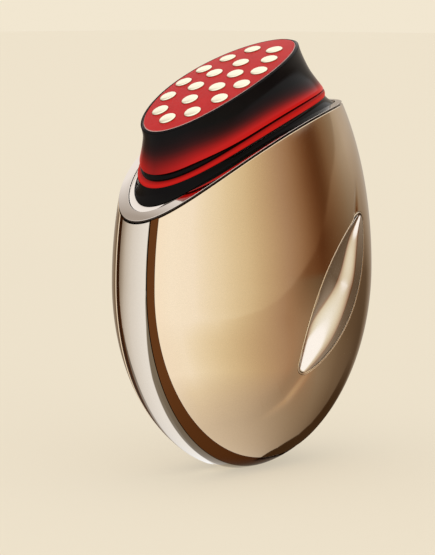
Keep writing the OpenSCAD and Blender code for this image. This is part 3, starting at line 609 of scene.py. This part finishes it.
def light_ring():
    """The red ring, slightly bulged and marked by its height."""
    bulge = 0.12
    rows = [level_ring(STRIP_LOW, t, 0.05) for t in (1.4, 0.1)]
    shares = np.linspace(0.06, 0.94, 9)
    for f in shares:
        level = np.array(STRIP_LOW) * (1 - f) + np.array(STRIP_TOP) * f
        rows.append(level_ring(level, -bulge * math.sin(math.pi * f)))
    rows += [level_ring(STRIP_TOP, t) for t in (0.1, 1.4)]
    return make_grid("light_ring_skin", rows,
                     attrs={"up": per_row([0, 0, *shares, 1, 1], HEAD_COLS)})


def groove_ring():
    """The black bottom of the groove above the light ring, from below and then from above."""
    rows = [level_ring(STRIP_TOP, t, up) for t, up in ((0.9, 0.02), (0.1, 0.02), (0.1, 0.08),
                                                       (0.3, 0.12), (0.85, 0.14))]
    rows += [level_ring(SHELL_LOW, t, -0.05) for t in (0.9, 1.6)]
    return make_grid("groove_ring_skin", rows)


def head_shell():
    """The flared shell, marked by how much of the red light shines through it."""
    levels = smooth_levels([SHELL_LOW, WAIST, NECK, FACE], 48)
    # Shares that change with the angle from the head's tip
    from_tip = np.degrees(np.abs(angles(HEAD_COLS) - math.pi))
    past = smooth((from_tip - 30) / 40)
    far = smooth((from_tip - 80) / 60)
    tip = np.clip(1 - from_tip / 36, 0, 1)
    # The black groove is widest round the tip
    drop = (0.55 * past)[:, None]

    def foot(t, up=0.0):
        return level_ring(SHELL_LOW, t, up) * (1 - drop) + level_ring(STRIP_TOP, t, up) * drop

    # The chamfered edge, rounded at both sides
    chamfer = ((0.0, -0.55), (0.0, -0.42), (0.03, -0.33), (0.09, -0.25), (0.2, -0.17),
               (0.35, -0.09), (0.5, -0.02), (0.58, 0.0), (0.63, -0.02), (0.65, -0.08),
               (0.65, -0.4), (0.65, -1.2))
    rows = [foot(1.6), foot(0.5), foot(0.12), foot(0.03, 0.03)]
    rows += [level_ring(level, 0) for level in levels[1:-2]]
    rows += [level_ring(FACE, t, up) for t, up in chamfer]
    wall = np.arange(1, len(levels) - 2) / (len(levels) - 1)
    height = per_row([0, 0, 0, 0, *wall, *[1] * len(chamfer)], HEAD_COLS)
    fall = table(SHINE, height * (1 + 0.4 * past + 0.9 * far))
    return make_grid("head_shell_skin", rows, attrs={"glow": fall * (1 - 0.5 * tip)})


def on_face(s, y, h):
    """A place on the domed face: along it, across it and above it."""
    drop = DOME - np.sqrt(DOME * DOME - s * s - y * y)
    tilt = math.radians(FACE_TILT)
    up = h - drop
    return np.stack([FACE_X + s * math.cos(tilt) - up * math.sin(tilt), y,
                     FACE_Z + s * math.sin(tilt) + up * math.cos(tilt)], -1)


def face_plate():
    """The red face, with its rounded edge marked below zero for a painted highlight, a pale line
    along its rim.
    """
    u = angles(HEAD_COLS)
    flat = [0.001, *np.linspace(0.03, 0.98, 34), 0.99]
    edge = ((0.20, 0), (0.14, -0.02), (0.08, -0.06), (0.03, -0.12), (0.0, -0.22), (0.0, -1.4))
    rows = [on_face(FACE_A * f * np.cos(u), FACE_B * f * np.sin(u), 0) for f in flat]
    rows += [on_face((FACE_A - t) * np.cos(u), (FACE_B - t) * np.sin(u), h) for t, h in edge]
    marks = [0.3] * (len(flat) + 1) + [-0.3] * (len(edge) - 1)
    return make_grid("face_plate_skin", rows, attrs={"clear": per_row(marks, HEAD_COLS)})


def studs():
    """One stud per place: a short wall, a rounded shoulder and a low dome."""
    places = [(s, 0.0) for s in TIP_STUDS]
    places += [(s, side * y) for s, y in PAIR_STUDS for side in (-1, 1)]
    r = STUD_D / 2
    profile = [(r, -0.3), (r, 0.0), (r, 0.14), (r - 0.03, 0.21), (r - 0.09, 0.27),
               (r - 0.18, STUD_SHOULDER)]
    for f in np.linspace(0.85, 0.0, 12):
        rise = (STUD_RISE - STUD_SHOULDER) * (1 - f * f)
        profile.append((max(r * f, 0.002), STUD_SHOULDER + rise))
    u = angles(64)
    # The foot of each stud's wall is marked below zero, where its finish paints shade in darker
    # gold
    clear = per_row([1.0 if h > STUD_FOOT else -0.3 for q, h in profile], len(u))
    objs = []
    for i, (s, y) in enumerate(places):
        rows = [on_face(s + q * np.cos(u), y + q * np.sin(u), h) for q, h in profile]
        objs.append(make_grid("stud_%d" % i, rows, attrs={"clear": clear}))
    return join("electrodes_skin", objs)


# Key

def groove_depth(s, w, steep, gentle):
    """Depth of the thumb groove: a long slope down, a short one up and a level margin.

    Its bed and the end of its short slope are shares q of the leaf's half width, and drift
    along the leaf.
    """
    half = np.maximum(np.sqrt(LEAF_R ** 2 - s * s) - LEAF_OFF, 0.4)
    q = w / half
    low, high = smooth((3 - s) / 16), smooth((s - 3) / 17)
    bed = 0.14 + 0.32 * low + 0.38 * smooth((s - 4) / 13)
    end = -0.60 + 0.56 * high - 0.20 * low
    deep = (1 + 0.25 * low) * half * (bed - end) / 1.5
    slope = ((q - bed) / (1.05 - bed)) ** 2
    return 0.05 + deep * np.where(q > bed, steep - gentle * slope,
                                  steep * smooth((q - end) / (bed - end)))


def key_skin():
    """The leaf-shaped key with its groove. Its walls run the way it moves."""
    edge, depth = 0.07, 2.4
    psi = angles(360)
    radius = leaf_radius(psi, 0.0)
    reach = np.linspace(0.002, 0.985, 90)

    def row(f, steep, gentle):
        s, w = radius * f * np.cos(psi), radius * f * np.sin(psi)
        x, z = leaf_point(s, w)
        P = np.stack([x, -egg_y(x, z), z], -1)
        return P - egg_normal(P) * groove_depth(s, w, steep, gentle)[..., None]

    rim = row(1.0, GROOVE_SLOPE, GROOVE_SLOPE)
    e = unit(np.cross(np.roll(rim, -1, 0) - np.roll(rim, 1, 0), egg_normal(rim)))
    e = e * np.sign((e * (rim - [LEAF_X, 0, LEAF_Z])).sum(-1, keepdims=True))
    rows = [row(f, GROOVE_SLOPE, GROOVE_SLOPE) for f in reach]
    for a in math.pi / 2 * np.arange(6) / 5:
        rows.append(rim - e * edge * (1 - math.sin(a)) + INTO * edge * (1 - math.cos(a)))
    rows.append(rim + INTO * depth)
    N = grid_normals(np.array(rows), True)
    N = N * outward(np.array(rows), N)
    # The polish catches the light as a slightly steeper groove would
    shine = np.array([row(f, GROOVE_SHINE, GROOVE_SOFT) for f in reach])
    S = grid_normals(shine, True)
    N[:len(reach)] = S * np.sign((S * egg_normal(shine)).sum(-1, keepdims=True))
    N[:3] = N[3].mean(0)
    return make_grid("leaf_key_skin", rows, N)


def trim_skin():
    """A thin bead round the key. Its inner wall runs the way the key moves."""
    bulge, sunk = 0.07, 0.02
    psi = angles(480)

    def at(g, h):
        radius = leaf_radius(psi, g)
        x, z = leaf_point(radius * np.cos(psi), radius * np.sin(psi))
        P = np.stack([x, -egg_y(x, z), z], -1)
        return P + egg_normal(P) * (h - crease_depth(x, z))[..., None]

    lip = at(KEY_GAP, -sunk)
    rows = [lip + INTO * 3.0, lip + INTO * 0.2]
    for f in np.linspace(-1, 1, 11):
        rows.append(at(KEY_GAP + KEY_TRIM * (1 + f) / 2, bulge * (1 - f * f) - sunk))
    rows.append(at(KEY_GAP + KEY_TRIM, -0.25))
    return make_grid("key_trim_skin", rows)


# Materials

# The colour sockets of a Mix node
MIX_FIRST, MIX_SECOND, MIX_RESULT = 6, 7, 2
# How softly the mark of an edge and of the tent's border cut
EDGE_SOFT, BORDER_SOFT = 0.1, 0.6


def material(name, **inputs):
    """A principled material with plain values on its own sockets."""
    m = bpy.data.materials.new(name)
    m.use_nodes = True
    nt = m.node_tree
    bsdf = nt.nodes["Principled BSDF"]
    for key, value in inputs.items():
        if isinstance(value, tuple) and len(value) == 3:
            value = (*value, 1)
        bsdf.inputs[key.replace("_", " ")].default_value = value
    return m, nt, bsdf


def node(nt, kind, **values):
    n = nt.nodes.new(kind)
    for key, value in values.items():
        socket = key.replace("_", " ")
        if socket in n.inputs:
            n.inputs[socket].default_value = value
        else:
            setattr(n, key, value)
    return n


def link(nt, a, b):
    nt.links.new(a, b)


def coords(nt):
    """Object coordinates in millimetres."""
    place = node(nt, "ShaderNodeTexCoord")
    mapping = node(nt, "ShaderNodeMapping", Scale=(1 / MM,) * 3)
    link(nt, place.outputs["Object"], mapping.inputs["Vector"])
    return mapping.outputs["Vector"]


def ramp(nt, fac, stops):
    """A colour that runs through the stops, as pairs of place and colour."""
    r = node(nt, "ShaderNodeValToRGB")
    elements = r.color_ramp.elements
    while len(elements) < len(stops):
        elements.new(0.5)
    for element, (place, colour) in zip(elements, stops):
        element.position = place
        element.color = (*colour, 1)
    link(nt, fac, r.inputs["Fac"])
    return r.outputs["Color"]


def noise(nt, vec, scale, detail):
    n = node(nt, "ShaderNodeTexNoise", Scale=scale, Detail=detail, Roughness=0.5)
    link(nt, vec, n.inputs["Vector"])
    return n.outputs["Fac"]


def remap(nt, fac, lo, hi, **ends):
    """A value from lo to hi, or from the ends given by name."""
    m = node(nt, "ShaderNodeMapRange", To_Min=lo, To_Max=hi, **ends)
    link(nt, fac, m.inputs["Value"])
    return m.outputs["Result"]


def mark(nt, name):
    """The value that a mesh carries under that name."""
    return node(nt, "ShaderNodeAttribute", attribute_name=name)


def cut(nt, name, half):
    """Nought where a mesh's mark is below zero and one above, softened over half each way."""
    return remap(nt, mark(nt, name).outputs["Fac"], 0.0, 1.0, From_Min=-half, From_Max=half)


def mix_colours(nt, fac, first, second):
    mix = node(nt, "ShaderNodeMix", data_type="RGBA")
    link(nt, fac, mix.inputs["Factor"])
    link(nt, second, mix.inputs[MIX_SECOND])
    if isinstance(first, tuple):
        mix.inputs[MIX_FIRST].default_value = (*first, 1)
    else:
        link(nt, first, mix.inputs[MIX_FIRST])
    return mix.outputs[MIX_RESULT]


def bump(nt, bsdf, height, strength, distance):
    b = node(nt, "ShaderNodeBump", Strength=strength, Distance=distance)
    link(nt, height, b.inputs["Height"])
    link(nt, b.outputs["Normal"], bsdf.inputs["Normal"])


def clouded(nt, bsdf, cloud, dark, pale):
    """A base colour that drifts from dark to pale."""
    link(nt, ramp(nt, cloud, ((0.3, dark), (0.7, pale))), bsdf.inputs["Base Color"])


def lit(nt, bsdf, name, stops):
    """Gives the shader its own light, coloured by a mark of the mesh."""
    link(nt, ramp(nt, mark(nt, name).outputs["Fac"], stops), bsdf.inputs["Emission Color"])
    bsdf.inputs["Emission Strength"].default_value = 1.0


def lacquer(name, colour, rough, coat=1.0, spread=0.05, **extra):
    """Metallic lacquer: fine flakes under a clear coat, with faint handling marks."""
    m, nt, bsdf = material(name, Metallic=1.0, Coat_Weight=coat, Coat_Roughness=0.03, **extra)
    vec = coords(nt)
    flakes = node(nt, "ShaderNodeTexVoronoi", Scale=14.0)
    link(nt, vec, flakes.inputs["Vector"])
    tint = node(nt, "ShaderNodeSeparateColor")
    link(nt, flakes.outputs["Color"], tint.inputs["Color"])
    dark = tuple(c * (1 - spread) for c in colour)
    pale = tuple(min(1, c * (1 + spread)) for c in colour)
    link(nt, ramp(nt, tint.outputs["Red"], ((0.0, dark), (1.0, pale))), bsdf.inputs["Base Color"])
    cloud = noise(nt, vec, 0.12, 3.0)
    link(nt, remap(nt, cloud, rough - 0.03, rough + 0.04), bsdf.inputs["Roughness"])
    return m


def paint_edge_shade_and_highlight(m, edge):
    """Paints an edge colour into a finish where the skin's own mark "clear" is below zero:
    painted shade where that colour is darker, a painted highlight where it is paler.
    """
    nt = m.node_tree
    base = nt.nodes["Principled BSDF"].inputs["Base Color"]
    link(nt, mix_colours(nt, cut(nt, "clear", EDGE_SOFT), edge, base.links[0].from_socket), base)
    return m


def plain(name, colour, rough, grain=0.05, scale=6.0, **extra):
    """Moulded or soft material with a fine grain and a slight change of tone."""
    m, nt, bsdf = material(name, Roughness=rough, **extra)
    vec = coords(nt)
    clouded(nt, bsdf, noise(nt, vec, 0.3, 4.0), tuple(c * 0.9 for c in colour), colour)
    bump(nt, bsdf, noise(nt, vec, scale, 3.0), grain, 0.00005)
    return m


def glow_shell():
    """Smoked black plastic that lets red light through near its foot."""
    m, nt, bsdf = material("smoked_black", Roughness=0.12, Specular_IOR_Level=0.06)
    lit(nt, bsdf, "glow", ((0.0, (0.0, 0.0, 0.0)), (0.08, (0.045, 0.0015, 0.001)),
                           (1.0, (0.58, 0.008, 0.006))))
    vec = coords(nt)
    clouded(nt, bsdf, noise(nt, vec, 0.3, 4.0), (0.0055, 0.005, 0.0055), (0.007, 0.006, 0.0065))
    bump(nt, bsdf, noise(nt, vec, 0.5, 2.0), 0.03, 0.0001)
    return m


def lamp_lens():
    """Red diffusing plastic, lit from behind and brightest in the middle of its height."""
    m, nt, bsdf = material("red_lens", Roughness=0.35, Specular_IOR_Level=0.05)
    lit(nt, bsdf, "up", ((0.0, (0.40, 0.006, 0.004)), (0.5, (0.50, 0.008, 0.005)),
                         (1.0, (0.2, 0.003, 0.002))))
    clouded(nt, bsdf, noise(nt, coords(nt), 1.0, 3.0), (0.06, 0.002, 0.002), (0.08, 0.002, 0.002))
    return m


SILVER_LOOK = {"colour": (0.74, 0.66, 0.56), "rough": 0.12}
POLISH_LOOK = {"colour": (0.78, 0.71, 0.65), "rough": 0.05, "coat": 0.3, "spread": 0.01}
PLATED_LOOK = {"colour": (1.0, 0.94, 0.74), "rough": 0.3, "coat": 0.0, "spread": 0.03}
RED_LOOK = {"colour": (0.62, 0.02, 0.02), "rough": 0.4, "grain": 0.03, "scale": 3.0,
            "Specular_IOR_Level": 0.05}

# One finish for each material slot of the part
FINISH = {
    "champagne_gold": lacquer("champagne_gold_lacquer", (0.84, 0.66, 0.45), 0.08),
    "silver_beige": lacquer("silver_beige_lacquer", **SILVER_LOOK),
    "dark_bronze": lacquer("dark_bronze_lacquer", (0.115, 0.038, 0.010), 0.25, coat=0.0,
                           Specular_Tint=(0.5, 0.5, 0.5)),
    "polished_silver": lacquer("polished_plating", **POLISH_LOOK),
    "key_champagne": lacquer("key_lacquer", (0.89, 0.82, 0.75), 0.14, coat=0.8),
    "key_trim": lacquer("trim_lacquer", (0.88, 0.76, 0.58), 0.2),
    "black_gloss": plain("gloss_black", (0.004, 0.003, 0.003), 0.12, 0.02,
                         Specular_IOR_Level=0.06),
    "smoked_black": glow_shell(),
    "red_lens": lamp_lens(),
    "red_face": plain("red_face", **RED_LOOK),
    "gold_plated": lacquer("gold_plating", **PLATED_LOOK),
    "circuit_board": plain("circuit_board", (0.02, 0.11, 0.05), 0.4, 0.15, 2.0),
    "red_clear": plain("red_clear", (0.6, 0.03, 0.03), 0.2, 0.02),
    "led_package": plain("led_package", (0.85, 0.7, 0.45), 0.35),
    "soft_seal": plain("soft_seal", (0.03, 0.03, 0.032), 0.8, 0.3),
    "inner_plastic": plain("inner_plastic", (0.04, 0.04, 0.045), 0.5, 0.2),
    "steel": plain("zinc_steel", (0.62, 0.63, 0.66), 0.28, 0.1, 12.0, Metallic=1.0),
    "ribbon": plain("amber_film", (0.5, 0.2, 0.03), 0.3, 0.05),
    "chip_black": plain("moulding_compound", (0.02, 0.02, 0.022), 0.55, 0.25),
    "can_aluminium": plain("drawn_aluminium", (0.70, 0.71, 0.73), 0.3, 0.08, 10.0, Metallic=1.0),
    "cell_foil": plain("cell_foil", (0.55, 0.57, 0.6), 0.32, 0.35, 0.6, Metallic=0.9),
    "lead_red": plain("lead_insulation", (0.4, 0.02, 0.025), 0.5, 0.1),
}

# The same finishes with painted light on an edge: painted shade on the band's bevels, a painted
# shadow under the lip, painted shade at the studs' feet and a painted highlight along the red
# face's rim
# Painted shade, dark brown, on the band's bevels
BAND_PAINTED_SHADE = paint_edge_shade_and_highlight(lacquer("silver_beige_painted_bevel_shade", **SILVER_LOOK), (0.14, 0.095, 0.045))
# A painted shadow, nearly black, on the lip's cut-back edge
LIP_PAINTED_SHADOW = paint_edge_shade_and_highlight(lacquer("polished_lip_painted_shadow", **POLISH_LOOK), (0.03, 0.018, 0.01))
# Painted shade, darker gold, at the studs' feet
STUD_PAINTED_SHADE = paint_edge_shade_and_highlight(lacquer("gold_plating_painted_foot_shade", **PLATED_LOOK), (0.30, 0.20, 0.09))
# A painted highlight, pale pink, along the red face's rounded rim
FACE_RED_PAINTED_HIGHLIGHT = paint_edge_shade_and_highlight(plain("red_face_painted_edge_highlight", **RED_LOOK), (0.80, 0.50, 0.46))

SLOT_OF = {row["node"]: row["material_slot"] for row in frame["record"]["subparts"]}

for name, obj in frame["nodes"].items():
    obj.data.materials.clear()
    obj.data.materials.append(FINISH[SLOT_OF[name]])


def dress(obj, node_name, body="body", finish=None):
    """A skin takes its CAD node's place, slot, finish and body."""
    slot = SLOT_OF[node_name]
    obj.data.materials.clear()
    obj.data.materials.append(finish or FINISH[slot])
    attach(obj, body)
    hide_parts(node_name)


dress(cover("front_cover_skin", -1, True), "front_cover")
dress(cover("rear_cover_skin", 1, False), "rear_cover")
dress(strip("side_band_skin", -BAND_HALF, band_edge, 1, 0.0, BAND_EDGE, 9, BEVEL_DEPTH),
      "side_band", finish=BAND_PAINTED_SHADE)
dress(strip("front_ring_skin", RING_Y0, ring_edge, -1, RING_DROP, RING_EDGE, 6),
      "front_trim_ring")
dress(strip("rear_ring_skin", RING_Y0, ring_edge, 1, RING_DROP, RING_EDGE, 6),
      "rear_trim_ring")
dress(bezel(), "top_bezel", finish=LIP_PAINTED_SHADOW)
dress(head_base(), "head_base")
dress(light_ring(), "light_ring")
dress(groove_ring(), "groove_ring")
dress(head_shell(), "head_shell")
dress(face_plate(), "face_plate", finish=FACE_RED_PAINTED_HIGHLIGHT)
dress(studs(), "electrodes", finish=STUD_PAINTED_SHADE)
dress(key_skin(), "leaf_key", "key")
dress(trim_skin(), "key_trim_ring")


# Stage

BACKDROP = (0.886, 0.797, 0.635)
ROOM = (0.92, 0.90, 0.87)
FLOOR_HALF, FLOOR_GLOW = 6000.0, 0.6

# The light tent: a floor card, a round wall and a ceiling, as radius and height
CARD_Z, WALL_R, MAT_END = 0.8, 450.0, 95.1
TENT = ([(r, CARD_Z) for r in (10.5, 15, 20, 26, 33, 42, 55, 70, 90, 95, 95.2, 110, 125, 135, 145,
                               160, 180, 200, 230, 270, 320, 380, WALL_R)]
        + [(WALL_R, z) for z in (*range(15, 211, 15), 230, 250, 300, 400, 500)]
        + [(400, 560), (300, 620), (100, 680), (1, 700)])
# A place is an angle: up the wall its height, and out on the floor how far below the floor's
# end, HORIZON, it is seen from EYE_Z above the middle
EYE_Z, HORIZON = 60.0, 7.6
# Brightness of the walls by azimuth: white at the left, a dark flag in front
FIELD = ((-180, 1.08), (-150, 1.08), (-128, 1.05), (-105, 0.92), (-87, 0.77), (-72, 0.58),
         (-56, 0.36), (-46, 0.19), (-41, 0.13), (-37, 0.115), (-33, 0.15), (-28, 0.22),
         (-10, 0.35), (20, 0.50))
# Outside the curved border of that field, from the wall down to the floor
OUTSIDE = ((15.0, ((-30, 0.27), (-20, 0.36), (-5, 0.50), (20, 0.52))),
           (5.0, ((-45, 0.15), (-39, 0.10), (-30, 0.15), (-12, 0.22), (20, 0.36))),
           (-1.0, ((-70, 0.52), (-56, 0.30), (-50, 0.21), (-38, 0.13), (0, 0.12))),
           (-9.0, ((-100, 0.87), (-85, 0.70), (-67, 0.46), (-54, 0.29), (-40, 0.20), (-5, 0.11))),
           (-15.0, ((-135, 1.08), (-112, 0.96), (-87, 0.68), (-64, 0.40), (-38, 0.25),
                    (-18, 0.14), (0, 0.10))))
# On the floor card, farther out and near the object
CARD = ((-146, 1.03), (-124, 0.89), (-105, 0.75), (-85, 0.58), (-65, 0.43), (-45, 0.32),
        (-23, 0.18), (0, 0.11), (40, 0.10))
NEAR = ((-180, 0.80), (-150, 0.70), (-120, 0.58), (-93, 0.46), (-62, 0.33), (-40, 0.24),
        (-20, 0.13), (60, 0.10))
# Behind the object, for all heights
BEHIND = ((20, 0.50), (50, 0.45), (84, 0.19), (106, 0.36), (122, 0.68), (140, 0.88), (160, 1.0),
          (180, 1.08))
# The field's border: its azimuth by place up the wall or out on the floor
BORDER = ((-17.6, -180), (-17.2, -150), (-16.4, -126), (-14.9, -98), (-11, -79), (-7, -68),
          (-0.9, -56), (3.6, -43.5), (7.8, -37), (13.2, -29), (15.7, -22), (18, -17), (22, -12))
# A dark mat lies on the near floor: its border's azimuth by distance
MAT = ((7, -120), (8.5, -96), (10, -78), (12, -61), (15, -46), (20, -34), (28, -23), (44, -15),
       (64, -9), (95, -4))
MAT_TONE = np.array([0.05, 0.025, 0.010])
# The white ceiling: where it begins on the wall, and how much of it there is behind
CEILING = np.array([1.1, 1.08, 1.05])
CEILING_FROM = ((-100, 250), (-88, 245), (-71, 222), (-55, 212), (-45, 205), (-36, 203),
                (-20, 205), (0, 210))
CEILING_PART = ((62, 1), (84, 0.95), (88, 0.7), (94, 0.25), (125, 0.25), (150, 1))

# The camera: place, direction, and its focal length in pixels of the picture's height
CAMERA_AT, YAW, PITCH = (-365.3, -334.1, 104.5), 46.82, 7.09
FOCAL_PX, PICTURE_PX, SENSOR = 2200.0, 555.0, 36.0


def seen_rays(nt):
    """One for camera, glossy and transmission rays, nought for the others."""
    path = node(nt, "ShaderNodeLightPath")
    total = path.outputs["Is Camera Ray"]
    for kind in ("Is Glossy Ray", "Is Transmission Ray"):
        add = node(nt, "ShaderNodeMath", operation="ADD", use_clamp=True)
        link(nt, total, add.inputs[0])
        link(nt, path.outputs[kind], add.inputs[1])
        total = add.outputs[0]
    return total


def mix_shaders(nt, fac, first, second, end):
    mix = node(nt, "ShaderNodeMixShader")
    link(nt, fac, mix.inputs["Fac"])
    link(nt, first.outputs[0], mix.inputs[1])
    link(nt, second.outputs[0], mix.inputs[2])
    link(nt, mix.outputs[0], end.inputs["Surface"])


def floor():
    """Pale paper, which is partly flat in colour where it is seen."""
    r = FLOOR_HALF * MM
    mesh = bpy.data.meshes.new("floor")
    mesh.from_pydata([(-r, -r, 0), (r, -r, 0), (r, r, 0), (-r, r, 0)], [], [(0, 1, 2, 3)])
    obj = bpy.data.objects.new("floor", mesh)
    bpy.context.collection.objects.link(obj)
    m, nt, bsdf = material("floor_paper", Roughness=0.9, Specular_IOR_Level=0.1,
                           Base_Color=BACKDROP)
    flat = node(nt, "ShaderNodeEmission", Color=(*BACKDROP, 1), Strength=1.0)
    part = node(nt, "ShaderNodeMath", operation="MULTIPLY")
    part.inputs[1].default_value = FLOOR_GLOW
    link(nt, seen_rays(nt), part.inputs[0])
    mix_shaders(nt, part.outputs[0], bsdf, flat, nt.nodes["Material Output"])
    obj.data.materials.append(m)


def world():
    """A plain bright room, which looks like the backdrop where it is seen."""
    w = bpy.data.worlds.new("studio")
    bpy.context.scene.world = w
    w.use_nodes = True
    nt = w.node_tree
    room = nt.nodes["Background"]
    room.inputs["Color"].default_value = (*ROOM, 1)
    room.inputs["Strength"].default_value = 1.0
    pale = node(nt, "ShaderNodeBackground", Color=(*BACKDROP, 1), Strength=1.0)
    mix_shaders(nt, seen_rays(nt), room, pale, nt.nodes["World Output"])


def tone(level, warm):
    """The tint of a light card: neutral where it is bright, warmer the darker it is."""
    level, warm = np.broadcast_arrays(level, warm)
    gold = 1 - 1.8 * warm * np.clip(level - 0.45, 0, None) * np.clip(1.05 - level, 0, None)
    return np.stack([level, level ** (1.2 + 0.25 * warm), level ** (1.45 + 0.45 * warm) * gold],
                    -1)


def tent_row(r, z, az):
    """One row of the tent: its points, its colours inside and outside the border, the border."""
    a = np.radians(az)
    on_card = z == CARD_Z and r < WALL_R
    on_mat = on_card and r < MAT_END
    # The card reaches under the body, whose foot is longer than it is deep
    slim = np.interp(r, (10.5, 30), (0.62, 1)) if on_card else 1.0
    points = np.stack([r * np.cos(a), slim * r * np.sin(a), np.full(len(az), z)], -1)
    place = (HORIZON - math.degrees(math.atan(EYE_Z / r)) if on_card
             else math.degrees(z / WALL_R))
    # Low on the wall the field is turned a little
    shift = 0.3 * min(max(15 - place, 0), 10) * min(max((place + 9) / 6, 0), 1)
    field = table(FIELD, az - shift)
    marks = [at for at, tones in OUTSIDE][::-1]
    stack = np.array([table(tones, az) for at, tones in OUTSIDE])[::-1]
    beyond = np.array([np.interp(place, marks, column) for column in stack.T])
    if on_card:
        # The floor has tones of its own near the object, by the azimuth at which it is seen
        seen = np.degrees(np.arctan2(slim * np.sin(a), np.cos(a)))
        low = np.interp(r, (80, 140), (1, 0))
        close = np.interp(r, (25, 55), (1, 0))
        card = table(NEAR, seen) * close + table(CARD, seen) * (1 - close)
        beyond = beyond * (1 - low) + card * low
        field = beyond if on_mat else field * (1 - low) + card * low
        warm = np.interp(az, (-62, -40), (1, 0)) * (1 - close)
        high = 0.0
    else:
        warm = np.interp(az, (-40, -15), (1, 0))
        high = np.clip((z - table(CEILING_FROM, az)) / 20, 0, 1) * table(CEILING_PART, az)
        high = high[:, None]
    to_back = np.interp(az, (5, 35), (0, 1))
    warm = warm * np.interp(az, (-165, -150), (0, 1))

    def colour(level):
        return tone(level * (1 - to_back) + table(BEHIND, az) * to_back, warm)

    inside, outside = colour(field), colour(beyond)
    if on_mat:
        fade = (1 - to_back)[:, None] * np.interp(r, (50, 95), (1, 0))
        outside = outside * (1 - fade) + MAT_TONE * fade
        border = seen - table(MAT, np.hypot(points[:, 0], points[:, 1]))
    else:
        border = az - table(BORDER, place)

    def under_ceiling(shade):
        return shade * (1 - high) + CEILING * high

    return points, under_ceiling(inside), under_ceiling(outside), border


def tent():
    """A graded light tent, which only reflections see."""
    az = np.linspace(-180, 180, 360, endpoint=False)
    points, inside, outside, border = map(np.array, zip(*[tent_row(r, z, az) for r, z in TENT]))
    obj = make_grid("tent", points, attrs={"border": border})
    ones = np.ones((*border.shape, 1))
    for key, shade in (("inside", inside), ("outside", outside)):
        layer = obj.data.attributes.new(key, "FLOAT_COLOR", "POINT")
        layer.data.foreach_set("color", np.concatenate([shade, ones], -1).reshape(-1))
    m = bpy.data.materials.new("tent_cloth")
    m.use_nodes = True
    m.cycles.emission_sampling = "NONE"
    nt = m.node_tree
    nt.nodes.clear()
    tones = [mark(nt, key).outputs["Color"] for key in ("inside", "outside")]
    glow = node(nt, "ShaderNodeEmission", Strength=1.0)
    link(nt, mix_colours(nt, cut(nt, "border", BORDER_SOFT), *tones), glow.inputs["Color"])
    out = node(nt, "ShaderNodeOutputMaterial")
    link(nt, glow.outputs[0], out.inputs["Surface"])
    obj.data.materials.append(m)
    obj.visible_camera = False
    obj.visible_shadow = False
    obj.visible_diffuse = False


def camera():
    yaw, pitch = math.radians(YAW), math.radians(PITCH)
    cam = bpy.data.cameras.new("camera")
    obj = bpy.data.objects.new("camera", cam)
    bpy.context.collection.objects.link(obj)
    forward = Vector((math.sin(yaw) * math.cos(pitch), math.cos(yaw) * math.cos(pitch),
                      -math.sin(pitch)))
    obj.location = Vector(CAMERA_AT) * MM
    obj.rotation_euler = forward.to_track_quat("-Z", "Y").to_euler()
    cam.sensor_fit = "AUTO"
    cam.sensor_width = SENSOR
    cam.lens = FOCAL_PX / PICTURE_PX * SENSOR
    cam.clip_start, cam.clip_end = 0.01, 20.0
    bpy.context.scene.camera = obj


floor()
world()
tent()
camera()

bpy.context.scene.view_settings.view_transform = "Standard"
